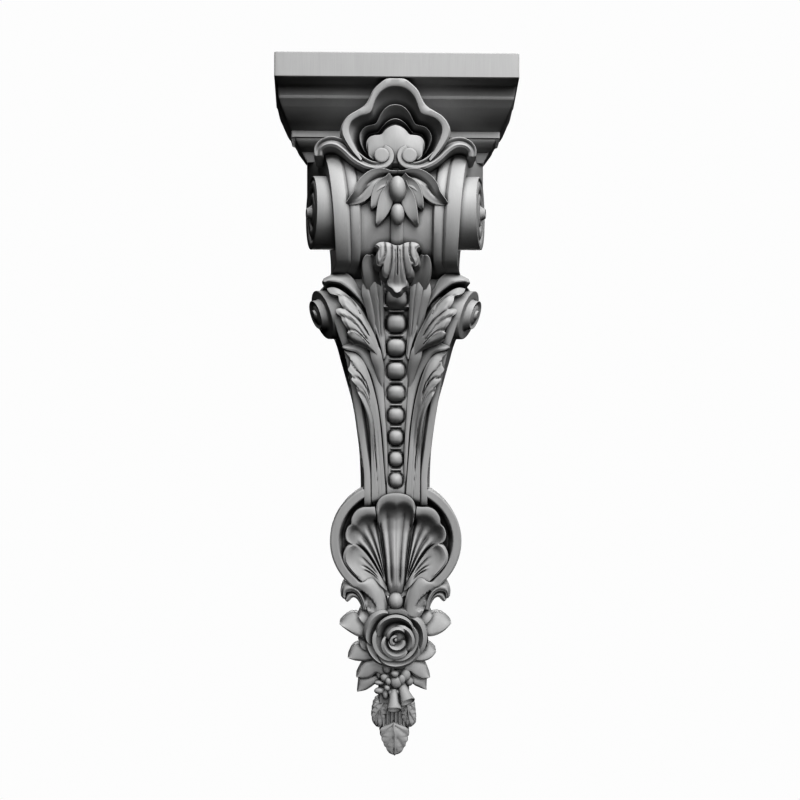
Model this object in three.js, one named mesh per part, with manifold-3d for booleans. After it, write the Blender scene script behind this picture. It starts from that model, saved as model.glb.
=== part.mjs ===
// A carved wooden corbel bracket, in millimetres, +Z up. Its flat back is the plane y = 0 and its
// front faces -Y. The origin lies on the back, a little below the shelf on top of the cornice.
// A rising number called "off" is how far a point stands off the wall.

import * as THREE from 'three';
import { mergeVertices } from 'three/addons/utils/BufferGeometryUtils.js';
import Module from 'manifold-3d';

const wasm = await Module();
wasm.setup();

// Driving dimensions
const OVERALL_HEIGHT = 600;
const SHELF_HEIGHT = 40;
const SHELF_PROJECTION = 87;
const SHELF_HALF_WIDTH = 100;
const SCROLL_RADIUS = 63;
const SCROLL_HEIGHT = -88.3;
const DRUM_RADIUS = 31;
const DRUM_OFF = 45;
const DRUM_HEIGHT = -83.4;
const LOW_SCROLL_RADIUS = 21.2;
const LOW_SCROLL_HEIGHT = -168.6;
const LEG_FOOT = -334;
const MEDAL_HEIGHT = -367;
const MEDAL_HALF_WIDTH = 57.6;
const MEDAL_HALF_HEIGHT = 53;
const MEDAL_OFF = 29;
const RIM_WIDTH = 8;
const ROSE_HEIGHT = -450.5;
const ROSE_RADIUS = 27;
const TIP_HEIGHT = SHELF_HEIGHT - OVERALL_HEIGHT;

// Small helpers: points, curves and graphs

const at = (x, z, off) => new THREE.Vector3(x, -off, z);
const mix = THREE.MathUtils.lerp;
const radians = THREE.MathUtils.degToRad;
const curve = (points) => new THREE.SplineCurve(points.map(([x, z]) => new THREE.Vector2(x, z)));

// A value that changes smoothly with a rising position, through the given pairs.
function graph(pairs) {
  const fit = new THREE.CubicInterpolant(pairs.map((p) => p[0]), pairs.map((p) => p[1]), 1);
  return (position) => fit.evaluate(position)[0];
}

// A closed geometry as a solid, turned so that its faces point out.
function solidOf(geometry) {
  geometry.deleteAttribute('normal');
  geometry.deleteAttribute('uv');
  const merged = mergeVertices(geometry, 1e-3);
  const spots = merged.attributes.position;
  const corners = [];
  const [a, b, c] = [new THREE.Vector3(), new THREE.Vector3(), new THREE.Vector3()];
  let volume = 0;
  for (let i = 0; i < merged.index.count; i += 3) {
    const tri = [0, 1, 2].map((k) => merged.index.getX(i + k));
    if (new Set(tri).size < 3) continue;
    corners.push(tri);
    a.fromBufferAttribute(spots, tri[0]);
    b.fromBufferAttribute(spots, tri[1]);
    c.fromBufferAttribute(spots, tri[2]);
    volume += a.dot(b.cross(c));
  }
  if (volume < 0) corners.forEach((tri) => tri.reverse());
  const mesh = new wasm.Mesh({
    numProp: 3,
    vertProperties: new Float32Array(spots.array),
    triVerts: new Uint32Array(corners.flat()),
  });
  return new wasm.Manifold(mesh);
}

// A slab: a box whose grid of points is moved to place(across, along, front), each from 0 to 1.
function slab(columns, rows, place) {
  const box = new THREE.BoxGeometry(1, 1, 1, columns, 1, rows);
  const points = box.attributes.position;
  for (let i = 0; i < points.count; i++) {
    const across = Math.round((points.getX(i) + 0.5) * columns) / columns;
    const along = Math.round((points.getZ(i) + 0.5) * rows) / rows;
    const spot = place(across, along, points.getY(i) < 0);
    points.setXYZ(i, spot.x, spot.y, spot.z);
  }
  return solidOf(box);
}

// A raised band between two edges drawn in the plane of the wall.
function band({ edges, columns, rows, off, back }) {
  return slab(columns, rows, (across, along, front) => {
    const start = edges[0].getPoint(along);
    const spot = start.lerp(edges[1].getPoint(along), across);
    return at(spot.x, spot.y, front ? off(across, along, spot.y) : back);
  });
}

// A leaf, lobe or petal along a spine, with its half width and its surface given along it.
function blade({ spine, half, off, back, columns = 2, rows = 5, draft = 0 }) {
  return slab(columns, rows, (across, along, front) => {
    const centre = spine.getPointAt(along);
    const run = spine.getTangentAt(along);
    const side = (2 * across - 1) * (half(along) + (front ? 0 : draft));
    const depth = front ? off(2 * across - 1, along) : back;
    return at(centre.x - run.y * side, centre.y + run.x * side, depth);
  });
}

// The half width of a leaf that swells from its root and closes at its tip.
const swell = (widest, lean = 1, root = 0.15, blunt = 1) => (along) =>
  widest * Math.max(root * (1 - along), Math.sin(Math.PI * along ** lean)) ** blunt + 0.4;

// A ball stretched to the three half sizes.
function pearl(x, z, off, halfWidth, halfHeight, halfDepth, sides = 8) {
  const ball = new THREE.SphereGeometry(1, sides, Math.round(sides * 0.75));
  ball.rotateX(Math.PI / 2);
  ball.scale(halfWidth, halfDepth, halfHeight);
  ball.translate(x, -off, z);
  return solidOf(ball);
}

const bothSides = (make) => [make(1), make(-1)];
const mirrored = (points, side) => curve(points.map(([x, z]) => [x * side, z]));

// Cornice: a shelf over a hollow and round moulding, a fillet and a small ovolo
function cornice() {
  const levels = [
    [SHELF_HEIGHT, SHELF_PROJECTION - 1, SHELF_HALF_WIDTH - 1, 107],
    [SHELF_HEIGHT - 1, SHELF_PROJECTION, SHELF_HALF_WIDTH, 108],
    [19.5, SHELF_PROJECTION, SHELF_HALF_WIDTH, 107],
    [17, 72, 99.5, 105.8],
    [13, 66.7, 99, 104.8],
    [9.6, 64.6, 98.6, 103.6],
    [2, 58.8, 96.5, 100.5],
    [-6, 49.6, 93, 97],
    [-9.2, 35.7, 91.5, 95],
    [-9.6, 33.5, 90.9, 94.2],
    [-15, 33.5, 90.9, 92.6],
    [-15.6, 31.5, 87.6, 90.4],
    [-19, 29.5, 86.3, 88.3],
    [-22, 24, 85, 87],
    [-23.5, 15, 84, 86],
    [-31.7, 12, 79, 80],
  ];
  return slab(1, levels.length - 1, (across, along, front) => {
    const level = levels[Math.round((1 - along) * (levels.length - 1))];
    const half = front ? level[2] : level[3];
    return at((2 * across - 1) * half, level[0], front ? level[1] : 0);
  });
}

// The line of the front seen from the side, from the cornice down to the foot of the leg
function frontLine() {
  const points = [[20, -16]];
  const arc = (off, z, radius, from, to, steps) => {
    for (let i = 0; i <= steps; i++) {
      const angle = radians(mix(from, to, i / steps));
      points.push([off + radius * Math.cos(angle), z + radius * Math.sin(angle)]);
    }
  };
  arc(22, SCROLL_HEIGHT, SCROLL_RADIUS, 90, -33, 9);
  arc(55, -110, 24, -45, -75, 2);
  points.push([42, -138.5], [26, -143.5], [22, -147]);
  arc(21, LOW_SCROLL_HEIGHT, LOW_SCROLL_RADIUS, 75, 0, 4);
  const leg = graph([[LEG_FOOT, 29.5], [-322, 29.5], [-288, 28], [-246, 31.5], [-189, 40.5], [-168, 42]]);
  for (const z of [-180, -192, -206, -224, -246, -272, -298, LEG_FOOT]) {
    points.push([leg(z), z]);
  }
  return points;
}

const rimEdge = graph([
  [LEG_FOOT, 27.8], [-313, 27.8], [-288, 30.6], [-260, 34.6], [-233, 39], [-215, 42], [-200, 45.5],
  [-188, 49.6], [-171, 55], [-158, 60], [-147, 65], [-138, 56], [-128, 50.5], [-100, 51.5],
  [-80, 53], [-51, 57], [-36, 61], [-16, 65],
]);
const wallEdge = graph([
  [LEG_FOOT, 31], [-316, 31.2], [-293, 32.2], [-269, 35], [-247, 38.5], [-225, 44.4], [-209, 48.9],
  [-193, 53.4], [-171, 64], [-158, 68], [-147, 69], [-138, 62], [-128, 58], [-110, 59],
  [-85, 70], [-60, 79.5], [-16, 79.5],
]);
const rimBand = graph([[LEG_FOOT, 5.8], [-246, 6.5], [-190, 8], [-120, 11.2], [-80, 12], [-16, 12]]);
const filletBand = graph([[LEG_FOOT, 4.2], [-246, 5], [-190, 8], [-120, 9], [-80, 10], [-16, 10]]);
const stripHalf = graph([[LEG_FOOT, 7.6], [-225, 10.7], [-150, 13], [-125, 5.8], [-16, 5.8]]);
const fieldSink = graph([[LEG_FOOT, 3], [-190, 3.2], [-120, 5], [-16, 5]]);
const saddle = (z) => 49 * Math.exp(-(((z + 150) / 17) ** 2));

// Console and leg: one run of sections with rims, inner fillets and a field down the middle
function consoleBody() {
  const line = frontLine();
  const section = (off, z) => {
    const edge = rimEdge(z);
    const inner = edge - rimBand(z);
    const low = inner - filletBand(z);
    const field = Math.max(off - fieldSink(z), saddle(z));
    const strip = Math.min(stripHalf(z), low - 2);
    return [
      [wallEdge(z), 0],
      [mix(edge, wallEdge(z), 0.25), off * 0.45],
      [edge, off],
      [inner, off],
      [inner - 0.8, Math.max(off - 1.8, 4)],
      [low, Math.max(off - 2, 3.6)],
      [low - 1.4, field],
      [strip, field + 0.8],
    ];
  };
  const halfCount = section(30, -300).length;
  const columns = 2 * halfCount - 1;
  return slab(columns, line.length - 1, (across, along, front) => {
    const [off, z] = line[Math.round((1 - along) * (line.length - 1))];
    const place = Math.round(across * columns);
    if (!front) return at((2 * across - 1) * wallEdge(z), z, 0);
    const side = place < halfCount ? -1 : 1;
    const [x, depth] = section(off, z)[side < 0 ? place : columns - place];
    return at(side * x, z, depth);
  });
}

// A round boss on the side whose outer face leans, with raised steps or a spiral on it
function boss({ side, radius, off, z, face, inside, sides = 14 }) {
  const drum = new THREE.CylinderGeometry(radius, radius, 1, sides);
  drum.rotateZ(-Math.PI / 2);
  const points = drum.attributes.position;
  for (let i = 0; i < points.count; i++) {
    const depth = off - points.getY(i);
    const height = z + points.getZ(i);
    const x = points.getX(i) > 0 ? face(depth, height) : inside;
    points.setXYZ(i, side * x, -depth, height);
  }
  return solidOf(drum);
}

// A spiral ridge standing out from a leaning face
function spiral({ side, off, z, outer, inner, turns, width, lift, face, from }) {
  return slab(1, 11, (across, along, front) => {
    const angle = from + along * turns * 2 * Math.PI;
    const radius = mix(outer, inner, along) - across * width * mix(1, 0.6, along);
    const depth = off + radius * Math.cos(angle);
    const height = z + radius * Math.sin(angle);
    const x = face(depth, height) + (front ? lift : -2);
    return at(side * x, height, depth);
  });
}

function sideScrolls(side) {
  const face = (off) => 65.8 + 0.223 * (76 - off);
  const ridge = 1.6;
  const lowFace = (off, z) => 65 + 0.4 * (21 - off) + 0.3 * (z - LOW_SCROLL_HEIGHT);
  const high = { side, off: DRUM_OFF, z: DRUM_HEIGHT, face };
  const low = { side, off: 21.4, z: LOW_SCROLL_HEIGHT, face: lowFace };
  return [
    boss({ ...high, radius: DRUM_RADIUS, inside: 40, sides: 20 }),
    spiral({ ...high, outer: DRUM_RADIUS, inner: 7, turns: 1.7, width: 5, lift: ridge, from: 0.4 }),
    boss({ ...high, radius: 5.5, face: (off) => face(off) + 4, inside: 50, sides: 7 }),
    boss({ ...low, radius: LOW_SCROLL_RADIUS, inside: 30 }),
    boss({ ...low, radius: 13, z: LOW_SCROLL_HEIGHT - 3, face: (off, z) => lowFace(off, z) + 6, inside: 30,
      sides: 10 }),
    boss({ ...low, radius: 4, z: LOW_SCROLL_HEIGHT - 3, face: (off, z) => lowFace(off, z) + 8, inside: 30,
      sides: 6 }),
  ];
}

// Cartouche under the shelf: a three-lobed frame in steps round a bright shield
function cartouche() {
  const outline = (points) => {
    const left = points.map(([x, z]) => [-x, z]);
    return curve([...left.reverse(), ...points.slice(points[0][0] === 0 ? 1 : 0)]);
  };
  const lines = [
    outline([[0, 18.8], [10, 18.2], [18, 12], [22.5, 4.5], [26, -2.5], [34, -6.6], [41.5, -12], [45.2, -20],
      [43.5, -31], [34, -44]]),
    outline([[0, 12.5], [8, 11], [15, 4.2], [19, -3.5], [23, -8.4], [30.5, -11], [36.8, -15.5], [38.2, -22],
      [35.3, -31], [27, -44]]),
    outline([[0, 0.3], [7, -2], [12.6, -7.4], [17, -14], [25, -17.3], [30, -22.5], [30, -29], [27, -35],
      [22.5, -43]]),
    outline([[0, -9], [6, -11], [10, -15], [14, -20], [21, -21.7], [25.6, -26], [26, -31], [24, -36],
      [20.5, -42]]),
    outline([[0, -17], [6, -18.6], [10.5, -21.8], [14, -24.2], [20, -24.8], [24, -28], [24, -32], [22, -36],
      [19, -41]]),
  ];
  const steps = [[0, 85.5], [1, 86], [1.15, 80], [1.9, 77], [2, 81.5], [2.9, 75], [3, 68], [4, 68]];
  const columns = steps.length - 1;
  const lean = (z) => 0.05 * (z + 20);
  const frame = slab(columns, 18, (across, along, front) => {
    const [line, off] = steps[Math.round(across * columns)];
    const low = Math.min(Math.floor(line), lines.length - 2);
    const spot = lines[low].getPointAt(along).lerp(lines[low + 1].getPointAt(along), line - low);
    return at(spot.x, spot.y, front ? off + lean(spot.y) : 30);
  });
  const shield = slab(8, 2, (across, along, front) => {
    const x = (2 * across - 1) * 25;
    const rim = lines[4].getPointAt(across);
    const z = mix(-46, rim.y + 1, along);
    return at(mix(x, rim.x, along), z, front ? 76 + 5 * Math.sin(Math.PI * across) : 30);
  });
  const arms = bothSides((side) => blade({
    spine: mirrored([[17, -53], [25, -52], [33, -46], [40, -39], [47, -32.5], [54, -28.6], [61, -29.2],
      [66, -34], [66.5, -40], [63.5, -44.5]], side),
    half: (along) => 3.7 * Math.min(1, 0.45 + 2 * along),
    off: (t, along) => mix(84, 76, along) + 1.5 * t * t,
    back: 40, rows: 9,
  }));
  const curls = bothSides((side) => blade({
    spine: curl(side * 11.2, -44, 6.6, side),
    half: (along) => mix(4.6, 2.6, along),
    off: (t, along) => mix(83, 86, along) - t * t,
    back: 50, columns: 1, rows: 7,
  }));
  const hearts = bothSides((side) => pearl(side * 11.2, -44, 80, 4.4, 4.4, 5.6, 6));
  return [frame, shield, ...arms, ...curls, ...hearts];
}

// An arc that winds most of the way round a centre, from below it
function curl(x, z, radius, side) {
  const points = [];
  const steps = 8;
  for (let i = 0; i <= steps; i++) {
    const angle = radians(-120 + 300 * (i / steps));
    points.push([x - side * radius * Math.cos(angle), z + radius * Math.sin(angle)]);
  }
  return curve(points);
}

// A leaf of three lobes a side hangs under the cartouche, with two eggs on it
function topLeaf() {
  const lobes = [
    { points: [[3, -62], [14, -63], [26, -70], [34, -78], [41.5, -81.5]], wide: 8, rise: 87 },
    { points: [[5, -62], [11, -70], [16, -78], [20.5, -86.5]], wide: 5.6, rise: 88 },
    { points: [[4, -66], [7, -78], [11, -89], [16.5, -100]], wide: 5.2, rise: 88 },
  ];
  const parts = bothSides((side) => lobes.map(({ points, wide, rise }) => blade({
    spine: mirrored(points, side),
    half: swell(wide, 0.8, 0.5),
    off: (t, along) => rise + 2.2 * t * t - 1.5 * along,
    back: 60, rows: 3,
  }))).flat();
  return [...parts, pearl(0, -71.5, 88, 7.2, 11, 8), pearl(0, -91.5, 86, 5.6, 10.5, 6.5)];
}

// The small curled leaf that hangs over the head of the beading
function curledLeaf() {
  const edge = [[1, -113.5], [11, -111], [18, -115], [15.5, -119], [19, -125], [17.5, -132], [13.5, -133],
    [13.5, -143.5], [9, -145], [6.5, -150.5], [1, -154]];
  const surface = graph([[-154, 62], [-150.5, 60], [-145, 67], [-138, 77], [-130, 83], [-122, 85.5],
    [-115, 84], [-111, 79]]);
  return [band({
    edges: [curve(edge.map(([x, z]) => [-x, z])), curve(edge)], columns: 6, rows: 11, back: 30,
    off: (across, along, z) => surface(z) - 2.5 * (2 * across - 1) ** 2
      + 1.3 * Math.cos(6 * Math.PI * across),
  })];
}

// Calyx: pointed leaves that rise beside the curled leaf, in front of the hollow
function calyx() {
  const shoots = [
    { points: [[18, -172], [23, -158], [26, -146], [29, -137]], wide: 5, off: 55 },
    { points: [[19, -160], [22, -145], [25, -132], [28.5, -120]], wide: 4.5, off: 62 },
  ];
  return bothSides((side) => shoots.map(({ points, wide, off }) => blade({
    spine: mirrored(points, side),
    half: swell(wide, 0.9, 0.6),
    off: (t, along) => mix(42, off, Math.min(1, 1.6 * along)) + 1.6 * t * t,
    back: 14, rows: 4,
  }))).flat();
}

// The upper and the lower acanthus leaf on one side of the leg
function acanthus(side) {
  const fold = band({
    edges: [
      mirrored([[12.5, -215], [13, -204], [16.4, -190], [21.5, -175.8], [28.4, -162], [36.3, -152.4],
        [46, -146.2], [54, -143.2], [62.5, -142.2]], side),
      mirrored([[11.5, -215], [11.6, -200], [12, -182], [13, -164], [17, -148], [28, -141], [34, -143.5],
        [46, -135], [60, -136.5]], side),
    ],
    columns: 2, rows: 8, back: 12,
    off: (across, along) => mix(41, 58, along ** 1.3) - 7 * across * across * (1 - along)
      - 2 * (1 - across) ** 3,
  });
  const leaf = band({
    edges: [
      mirrored([[12.8, -214], [13.5, -200], [17, -190], [20, -181], [23, -174], [27.5, -165], [31.5, -158.5],
        [40, -150.5], [60.5, -142]], side),
      mirrored([[20, -205], [41.8, -188.5], [36, -182.5], [45.2, -179.6], [42, -170.5], [51.4, -167.5],
        [48.5, -158], [59.4, -149.8], [61.8, -144]], side),
    ],
    columns: 3, rows: 8, back: 12,
    off: (across, along) => mix(40, 52, along) + across * (7 - 3 * Math.cos(8 * Math.PI * along))
      - 3 * Math.sin(Math.PI * across),
  });
  const lowFold = band({
    edges: [
      mirrored([[8.6, -322], [10.2, -299], [12, -272], [15, -252], [21.6, -226], [28.5, -207.2],
        [36.5, -200.6], [44.8, -199]], side),
      mirrored([[8, -322], [8.6, -299], [9.6, -272], [10.6, -250], [12.5, -225], [23, -202],
        [34.5, -193.5], [45.6, -197.2]], side),
    ],
    columns: 2, rows: 7, back: 10,
    off: (across, along) => mix(28.4, 46, along ** 1.2) - 2 * across * across * along,
  });
  const lowLeaf = band({
    edges: [
      mirrored([[9.2, -330], [10.5, -299], [12.3, -272], [15.5, -250.4], [18, -240], [20.5, -230],
        [23.5, -219], [29, -208], [44, -200]], side),
      mirrored([[17.5, -330], [19, -296], [22.5, -262], [34.4, -235], [31, -231], [39.8, -225],
        [35, -216], [41.4, -207.5], [45.2, -201.5]], side),
    ],
    columns: 3, rows: 8, back: 10,
    off: (across, along) => mix(29, 40, along) + across * along * (6 + 2 * Math.cos(8 * Math.PI * along))
      - 1.5 * Math.sin(Math.PI * across),
  });
  return [fold, leaf, lowFold, lowLeaf];
}

// Beading: nine beads that grow smaller downward, with a cut bar between neighbours
const beadCount = 9;
const beadHeight = (i) => -156.9 - 20.9 * i + 0.16 * i * i;
const beadHalf = (i) => mix(8.6, 5.3, i / (beadCount - 1));
const stripOff = graph([
  [LEG_FOOT, 27.7], [-288, 26.2], [-246, 29.5], [-189, 38.5], [-168, 40.2], [-150, 48],
]);

function beads() {
  const row = Array.from({ length: beadCount }, (_, i) => i);
  return row.map((i) => pearl(0, beadHeight(i), stripOff(beadHeight(i)) + 0.6, beadHalf(i),
    Math.min(beadHalf(i), 6.8), 4.6, 7));
}

function beadBars() {
  const row = Array.from({ length: beadCount - 1 }, (_, i) => i);
  return row.map((i) => {
    const z = (beadHeight(i) + beadHeight(i + 1)) / 2;
    const bar = new THREE.BoxGeometry(1.2 * beadHalf(i), 2.4, 1.8);
    bar.translate(0, -stripOff(z) - 0.4, z);
    return solidOf(bar);
  });
}

// Medallion: a dished disc in a keyhole rim whose lower ends roll in beside the pearl
function medallion() {
  const profile = [[0, 0], [54, 0], [54, 21], [46, 17], [36, 12], [0, 10]];
  const bowl = new THREE.LatheGeometry(profile.map(([r, off]) => new THREE.Vector2(r, off)), 16);
  bowl.scale(1, -1, MEDAL_HALF_HEIGHT / MEDAL_HALF_WIDTH);
  bowl.translate(0, 0, MEDAL_HEIGHT);
  const middle = RIM_WIDTH / 2;
  const arc = Array.from({ length: 11 }, (_, i) => {
    const angle = radians(mix(59, -50, i / 10));
    return [(MEDAL_HALF_WIDTH - middle) * Math.cos(angle),
      MEDAL_HEIGHT + (MEDAL_HALF_HEIGHT - middle) * Math.sin(angle)];
  });
  const rollStart = 0.8;
  const rims = bothSides((side) => blade({
    spine: mirrored([...arc, [25, -414], [18, -423], [12.5, -432]], side),
    half: (along) => {
      const roll = Math.max(0, (along - rollStart) / (1 - rollStart));
      return middle + 5 * roll * Math.sqrt(1 - roll ** 3) - 2.5 * roll ** 6;
    },
    off: (t, along) => MEDAL_OFF - 0.8 * side * t + 2 * Math.max(0, along - rollStart) - 2 * t ** 4,
    back: 0, rows: 14, draft: 1.6,
  }));
  const wings = bothSides((side) => blade({
    spine: mirrored([[18, -434], [28, -423], [35, -414], [41, -410], [45.5, -412.5], [43.5, -419.5]], side),
    half: (along) => mix(5.5, 2.4, along) + 1.6 * Math.sin(Math.PI * along),
    off: (t, along) => 23 - 2.5 * t * t - 4 * along,
    back: 0, rows: 7,
  }));
  return [solidOf(bowl), ...rims, ...wings];
}

// Shell: a fan of scooped lobes that spread from a pearl at the foot of the medallion
function shell() {
  const root = -418;
  const reach = graph([[0, 89], [5, 91], [12, 86], [14.5, 77], [21, 79.5], [26.5, 81.5], [29.5, 75],
    [34, 76], [38.5, 70], [40.5, 62], [49, 60], [57, 53], [62, 36]]);
  const edges = [14, 29.5, 40.5, 62];
  const columns = 28;
  const fan = slab(columns, 4, (across, along, front) => {
    const lean = mix(-62, 62, across);
    const turn = Math.abs(lean);
    const radius = mix(9, reach(turn), along);
    const lobe = edges.findIndex((edge) => turn <= edge + 0.01);
    const start = lobe ? edges[lobe - 1] : -edges[0];
    const t = 2 * (turn - start) / (edges[lobe] - start) - 1;
    const scoop = 9 * Math.sin(Math.PI * along ** 2.2) * (1 - t * t) + 2.5 * along * t * t;
    const off = front ? mix(27, 32, along) - scoop : 4;
    return at(radius * Math.sin(radians(lean)), root + radius * Math.cos(radians(lean)), off);
  });
  return [fan, pearl(0, -419.5, 22, 7.5, 7.5, 9, 10)];
}

// Rose: rings of petals that stand higher toward the middle
function rose() {
  const wind = 1.5;
  const petal = ({ radius, from, sweep, thick, lip, foot }) => slab(3, 4, (across, along, front) => {
    const angle = radians(from + sweep * along);
    const fade = Math.sin(Math.PI * mix(0.12, 0.88, along)) ** 0.5;
    const reach = radius - across * thick * fade - wind * along;
    const round = [foot, lip, lip - 1, foot][Math.round(across * 3)];
    return at(reach * Math.cos(angle), ROSE_HEIGHT + reach * Math.sin(angle), front ? round : 0);
  });
  const rings = [
    { count: 4, radius: ROSE_RADIUS, thick: 8, lip: 33, foot: 20, sweep: 104, turn: 14 },
    { count: 3, radius: 18.5, thick: 6.5, lip: 38, foot: 28, sweep: 138, turn: 70 },
    { count: 2, radius: 11.5, thick: 4.5, lip: 41, foot: 32, sweep: 176, turn: 20 },
  ];
  const petals = rings.flatMap(({ count, turn, ...shape }) => Array.from({ length: count }, (_, i) =>
    petal({ ...shape, from: turn + (360 / count) * i })));
  return [
    pearl(0, ROSE_HEIGHT, 8, 25, 24, 21),
    ...petals,
    pearl(0.5, ROSE_HEIGHT, 32, 3.6, 4.4, 8, 6),
  ];
}

// Plain leaves round the rose and below it, each from its root to its tip
function roseLeaves() {
  const leaves = [
    { root: [-20, -443], tip: [-49.2, -440.2], wide: 8.6, off: 20, bend: -0.5 },
    { root: [20, -443], tip: [49, -439.8], wide: 8.6, off: 20, bend: -0.5 },
    { root: [-20, -441], tip: [-32, -430], wide: 5, off: 22, bend: 1 },
    { root: [20, -441], tip: [32, -430], wide: 5, off: 22, bend: 1 },
    { root: [-18, -460], tip: [-41.8, -471.4], wide: 6, off: 19, bend: 1 },
    { root: [15, -466], tip: [35.6, -465], wide: 5.2, off: 19, bend: -2.5 },
    { root: [-20, -457], tip: [-32, -453.5], wide: 3, off: 20, bend: 0 },
    { root: [18, -457], tip: [28, -452.5], wide: 3, off: 20, bend: 0 },
    { root: [-12, -473], tip: [-35, -488], wide: 6.8, off: 20, bend: 2 },
    { root: [10, -473], tip: [31, -488.3], wide: 6.8, off: 20, bend: 2 },
    { root: [-11, -486], tip: [-34, -501.4], wide: 5.6, off: 16, bend: 1 },
    { root: [8, -484], tip: [27.8, -500], wide: 5.6, off: 16, bend: 1 },
  ];
  return leaves.map(({ root, tip, wide, off, bend }) => {
    const middle = [mix(root[0], tip[0], 0.5), mix(root[1], tip[1], 0.5) + bend];
    return blade({
      spine: curve([root, middle, tip]),
      half: swell(wide, 1, 0.7, 0.8),
      off: (t, along) => off + 2.5 * Math.sin(Math.PI * along) - 2.5 * t * t - 1.2 * along,
      back: 0, rows: 4,
    });
  });
}

// Two small five-petalled blossoms and two bells hang below the rose
function blossoms() {
  const flowers = [{ x: 0, z: -482.5, size: 10, off: 25 }, { x: -7.5, z: -495.6, size: 8, off: 23 }];
  const parts = flowers.flatMap(({ x, z, size, off }) => {
    const petals = slab(15, 1, (across, along, front) => {
      const angle = 2 * Math.PI * across;
      const radius = mix(1.5, size * (0.8 + 0.2 * Math.cos(5 * angle)), along);
      const spot = [x + radius * Math.sin(angle), z + radius * Math.cos(angle)];
      return at(spot[0], spot[1], front ? off - 3 + 2 * along : 0);
    });
    return [petals, pearl(x, z, off - 3, 3.2, 3.2, 5, 6)];
  });
  const core = slab(1, 1, (across, along, front) =>
    at(mix(-9, 7, across), mix(-512, -470, along), front ? 16 : 0));
  return [core, ...parts, bell(-1.8, -498, 0), bell(5.5, -495, 0.42)];
}

function bell(x, z, tilt) {
  const profile = [[0, 0], [3, 0], [3.8, -6.5], [5.8, -15.5], [4.4, -15.5], [0, -9]];
  const cup = new THREE.LatheGeometry(profile.map(([r, y]) => new THREE.Vector2(r, y)), 8);
  cup.rotateX(Math.PI / 2 + 0.25);
  cup.rotateY(-tilt);
  cup.translate(x, -22, z);
  return solidOf(cup);
}

// Three veined leaves close the foot of the carving
function footLeaves() {
  const leaves = [
    { points: [[-6, -504], [-11, -517], [-15, -528], [-18.5, -536]], wide: 8.2, off: 14 },
    { points: [[5, -506], [9, -517], [12, -527], [14.5, -536]], wide: 7.2, off: 14 },
    { points: [[-1, -520], [-0.5, -534], [0.5, -548], [-0.7, TIP_HEIGHT]], wide: 12, off: 17 },
  ];
  const veins = 3;
  return leaves.map(({ points, wide, off }) => blade({
    spine: curve(points),
    half: swell(wide, 0.8, 0.5, 0.7),
    off: (t, along) => off - 4 * Math.abs(t) - 3 * along
      + Math.cos(2 * Math.PI * (veins * along + Math.abs(t))),
    back: 0, columns: 4, rows: 6,
  }));
}

// Everything is carved from one block, so all of it is joined into one solid
const parts = [
  consoleBody(),
  ...bothSides(sideScrolls).flat(),
  cornice(),
  ...cartouche(),
  ...topLeaf(),
  ...curledLeaf(),
  ...calyx(),
  ...bothSides(acanthus).flat(),
  ...beads(),
  ...medallion(),
  ...shell(),
  ...rose(),
  ...roseLeaves(),
  ...blossoms(),
  ...footLeaves(),
];
const joined = parts.reduce((sum, part) => sum.add(part));
const barred = beadBars().reduce((rest, bar) => rest.subtract(bar), joined);
const WALL_THICKNESS = 100;
const SLIVER = 0.3;
const wall = new THREE.BoxGeometry(2 * OVERALL_HEIGHT, WALL_THICKNESS, 3 * OVERALL_HEIGHT);
wall.translate(0, WALL_THICKNESS / 2, 0);
const bodies = barred.subtract(solidOf(wall)).decompose();
const whole = bodies.reduce((largest, body) => (body.volume() > largest.volume() ? body : largest));
const carved = whole.simplify(SLIVER);

const { vertProperties, triVerts } = carved.getMesh();
const geometry = new THREE.BufferGeometry();
geometry.setAttribute('position', new THREE.Float32BufferAttribute(vertProperties, 3));
geometry.setIndex(new THREE.Uint32BufferAttribute(triVerts, 1));
geometry.computeVertexNormals();

const paintedWood = new THREE.MeshStandardMaterial({ color: 0xbebebe, roughness: 0.6, metalness: 0 });
const corbel = new THREE.Mesh(geometry, paintedWood);
corbel.name = 'corbel';

const group = new THREE.Group();
group.add(corbel);
export default group;
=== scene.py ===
# %% [markdown]
# A carved wooden corbel bracket. The real one is cut from one block of limewood or beech with gouges:
# a moulded shelf, a scrolled console, a leg with beading and leaves, a shell in a ring and a hanging
# rose. It is then sanded and painted a neutral grey. It is one piece of wood, so it becomes one mesh.
# Each carved form is a small closed shell worked out from curves, and the shells overlap as the forms
# of a carving grow out of each other.

# %% Load the fixed frame
import math

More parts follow.
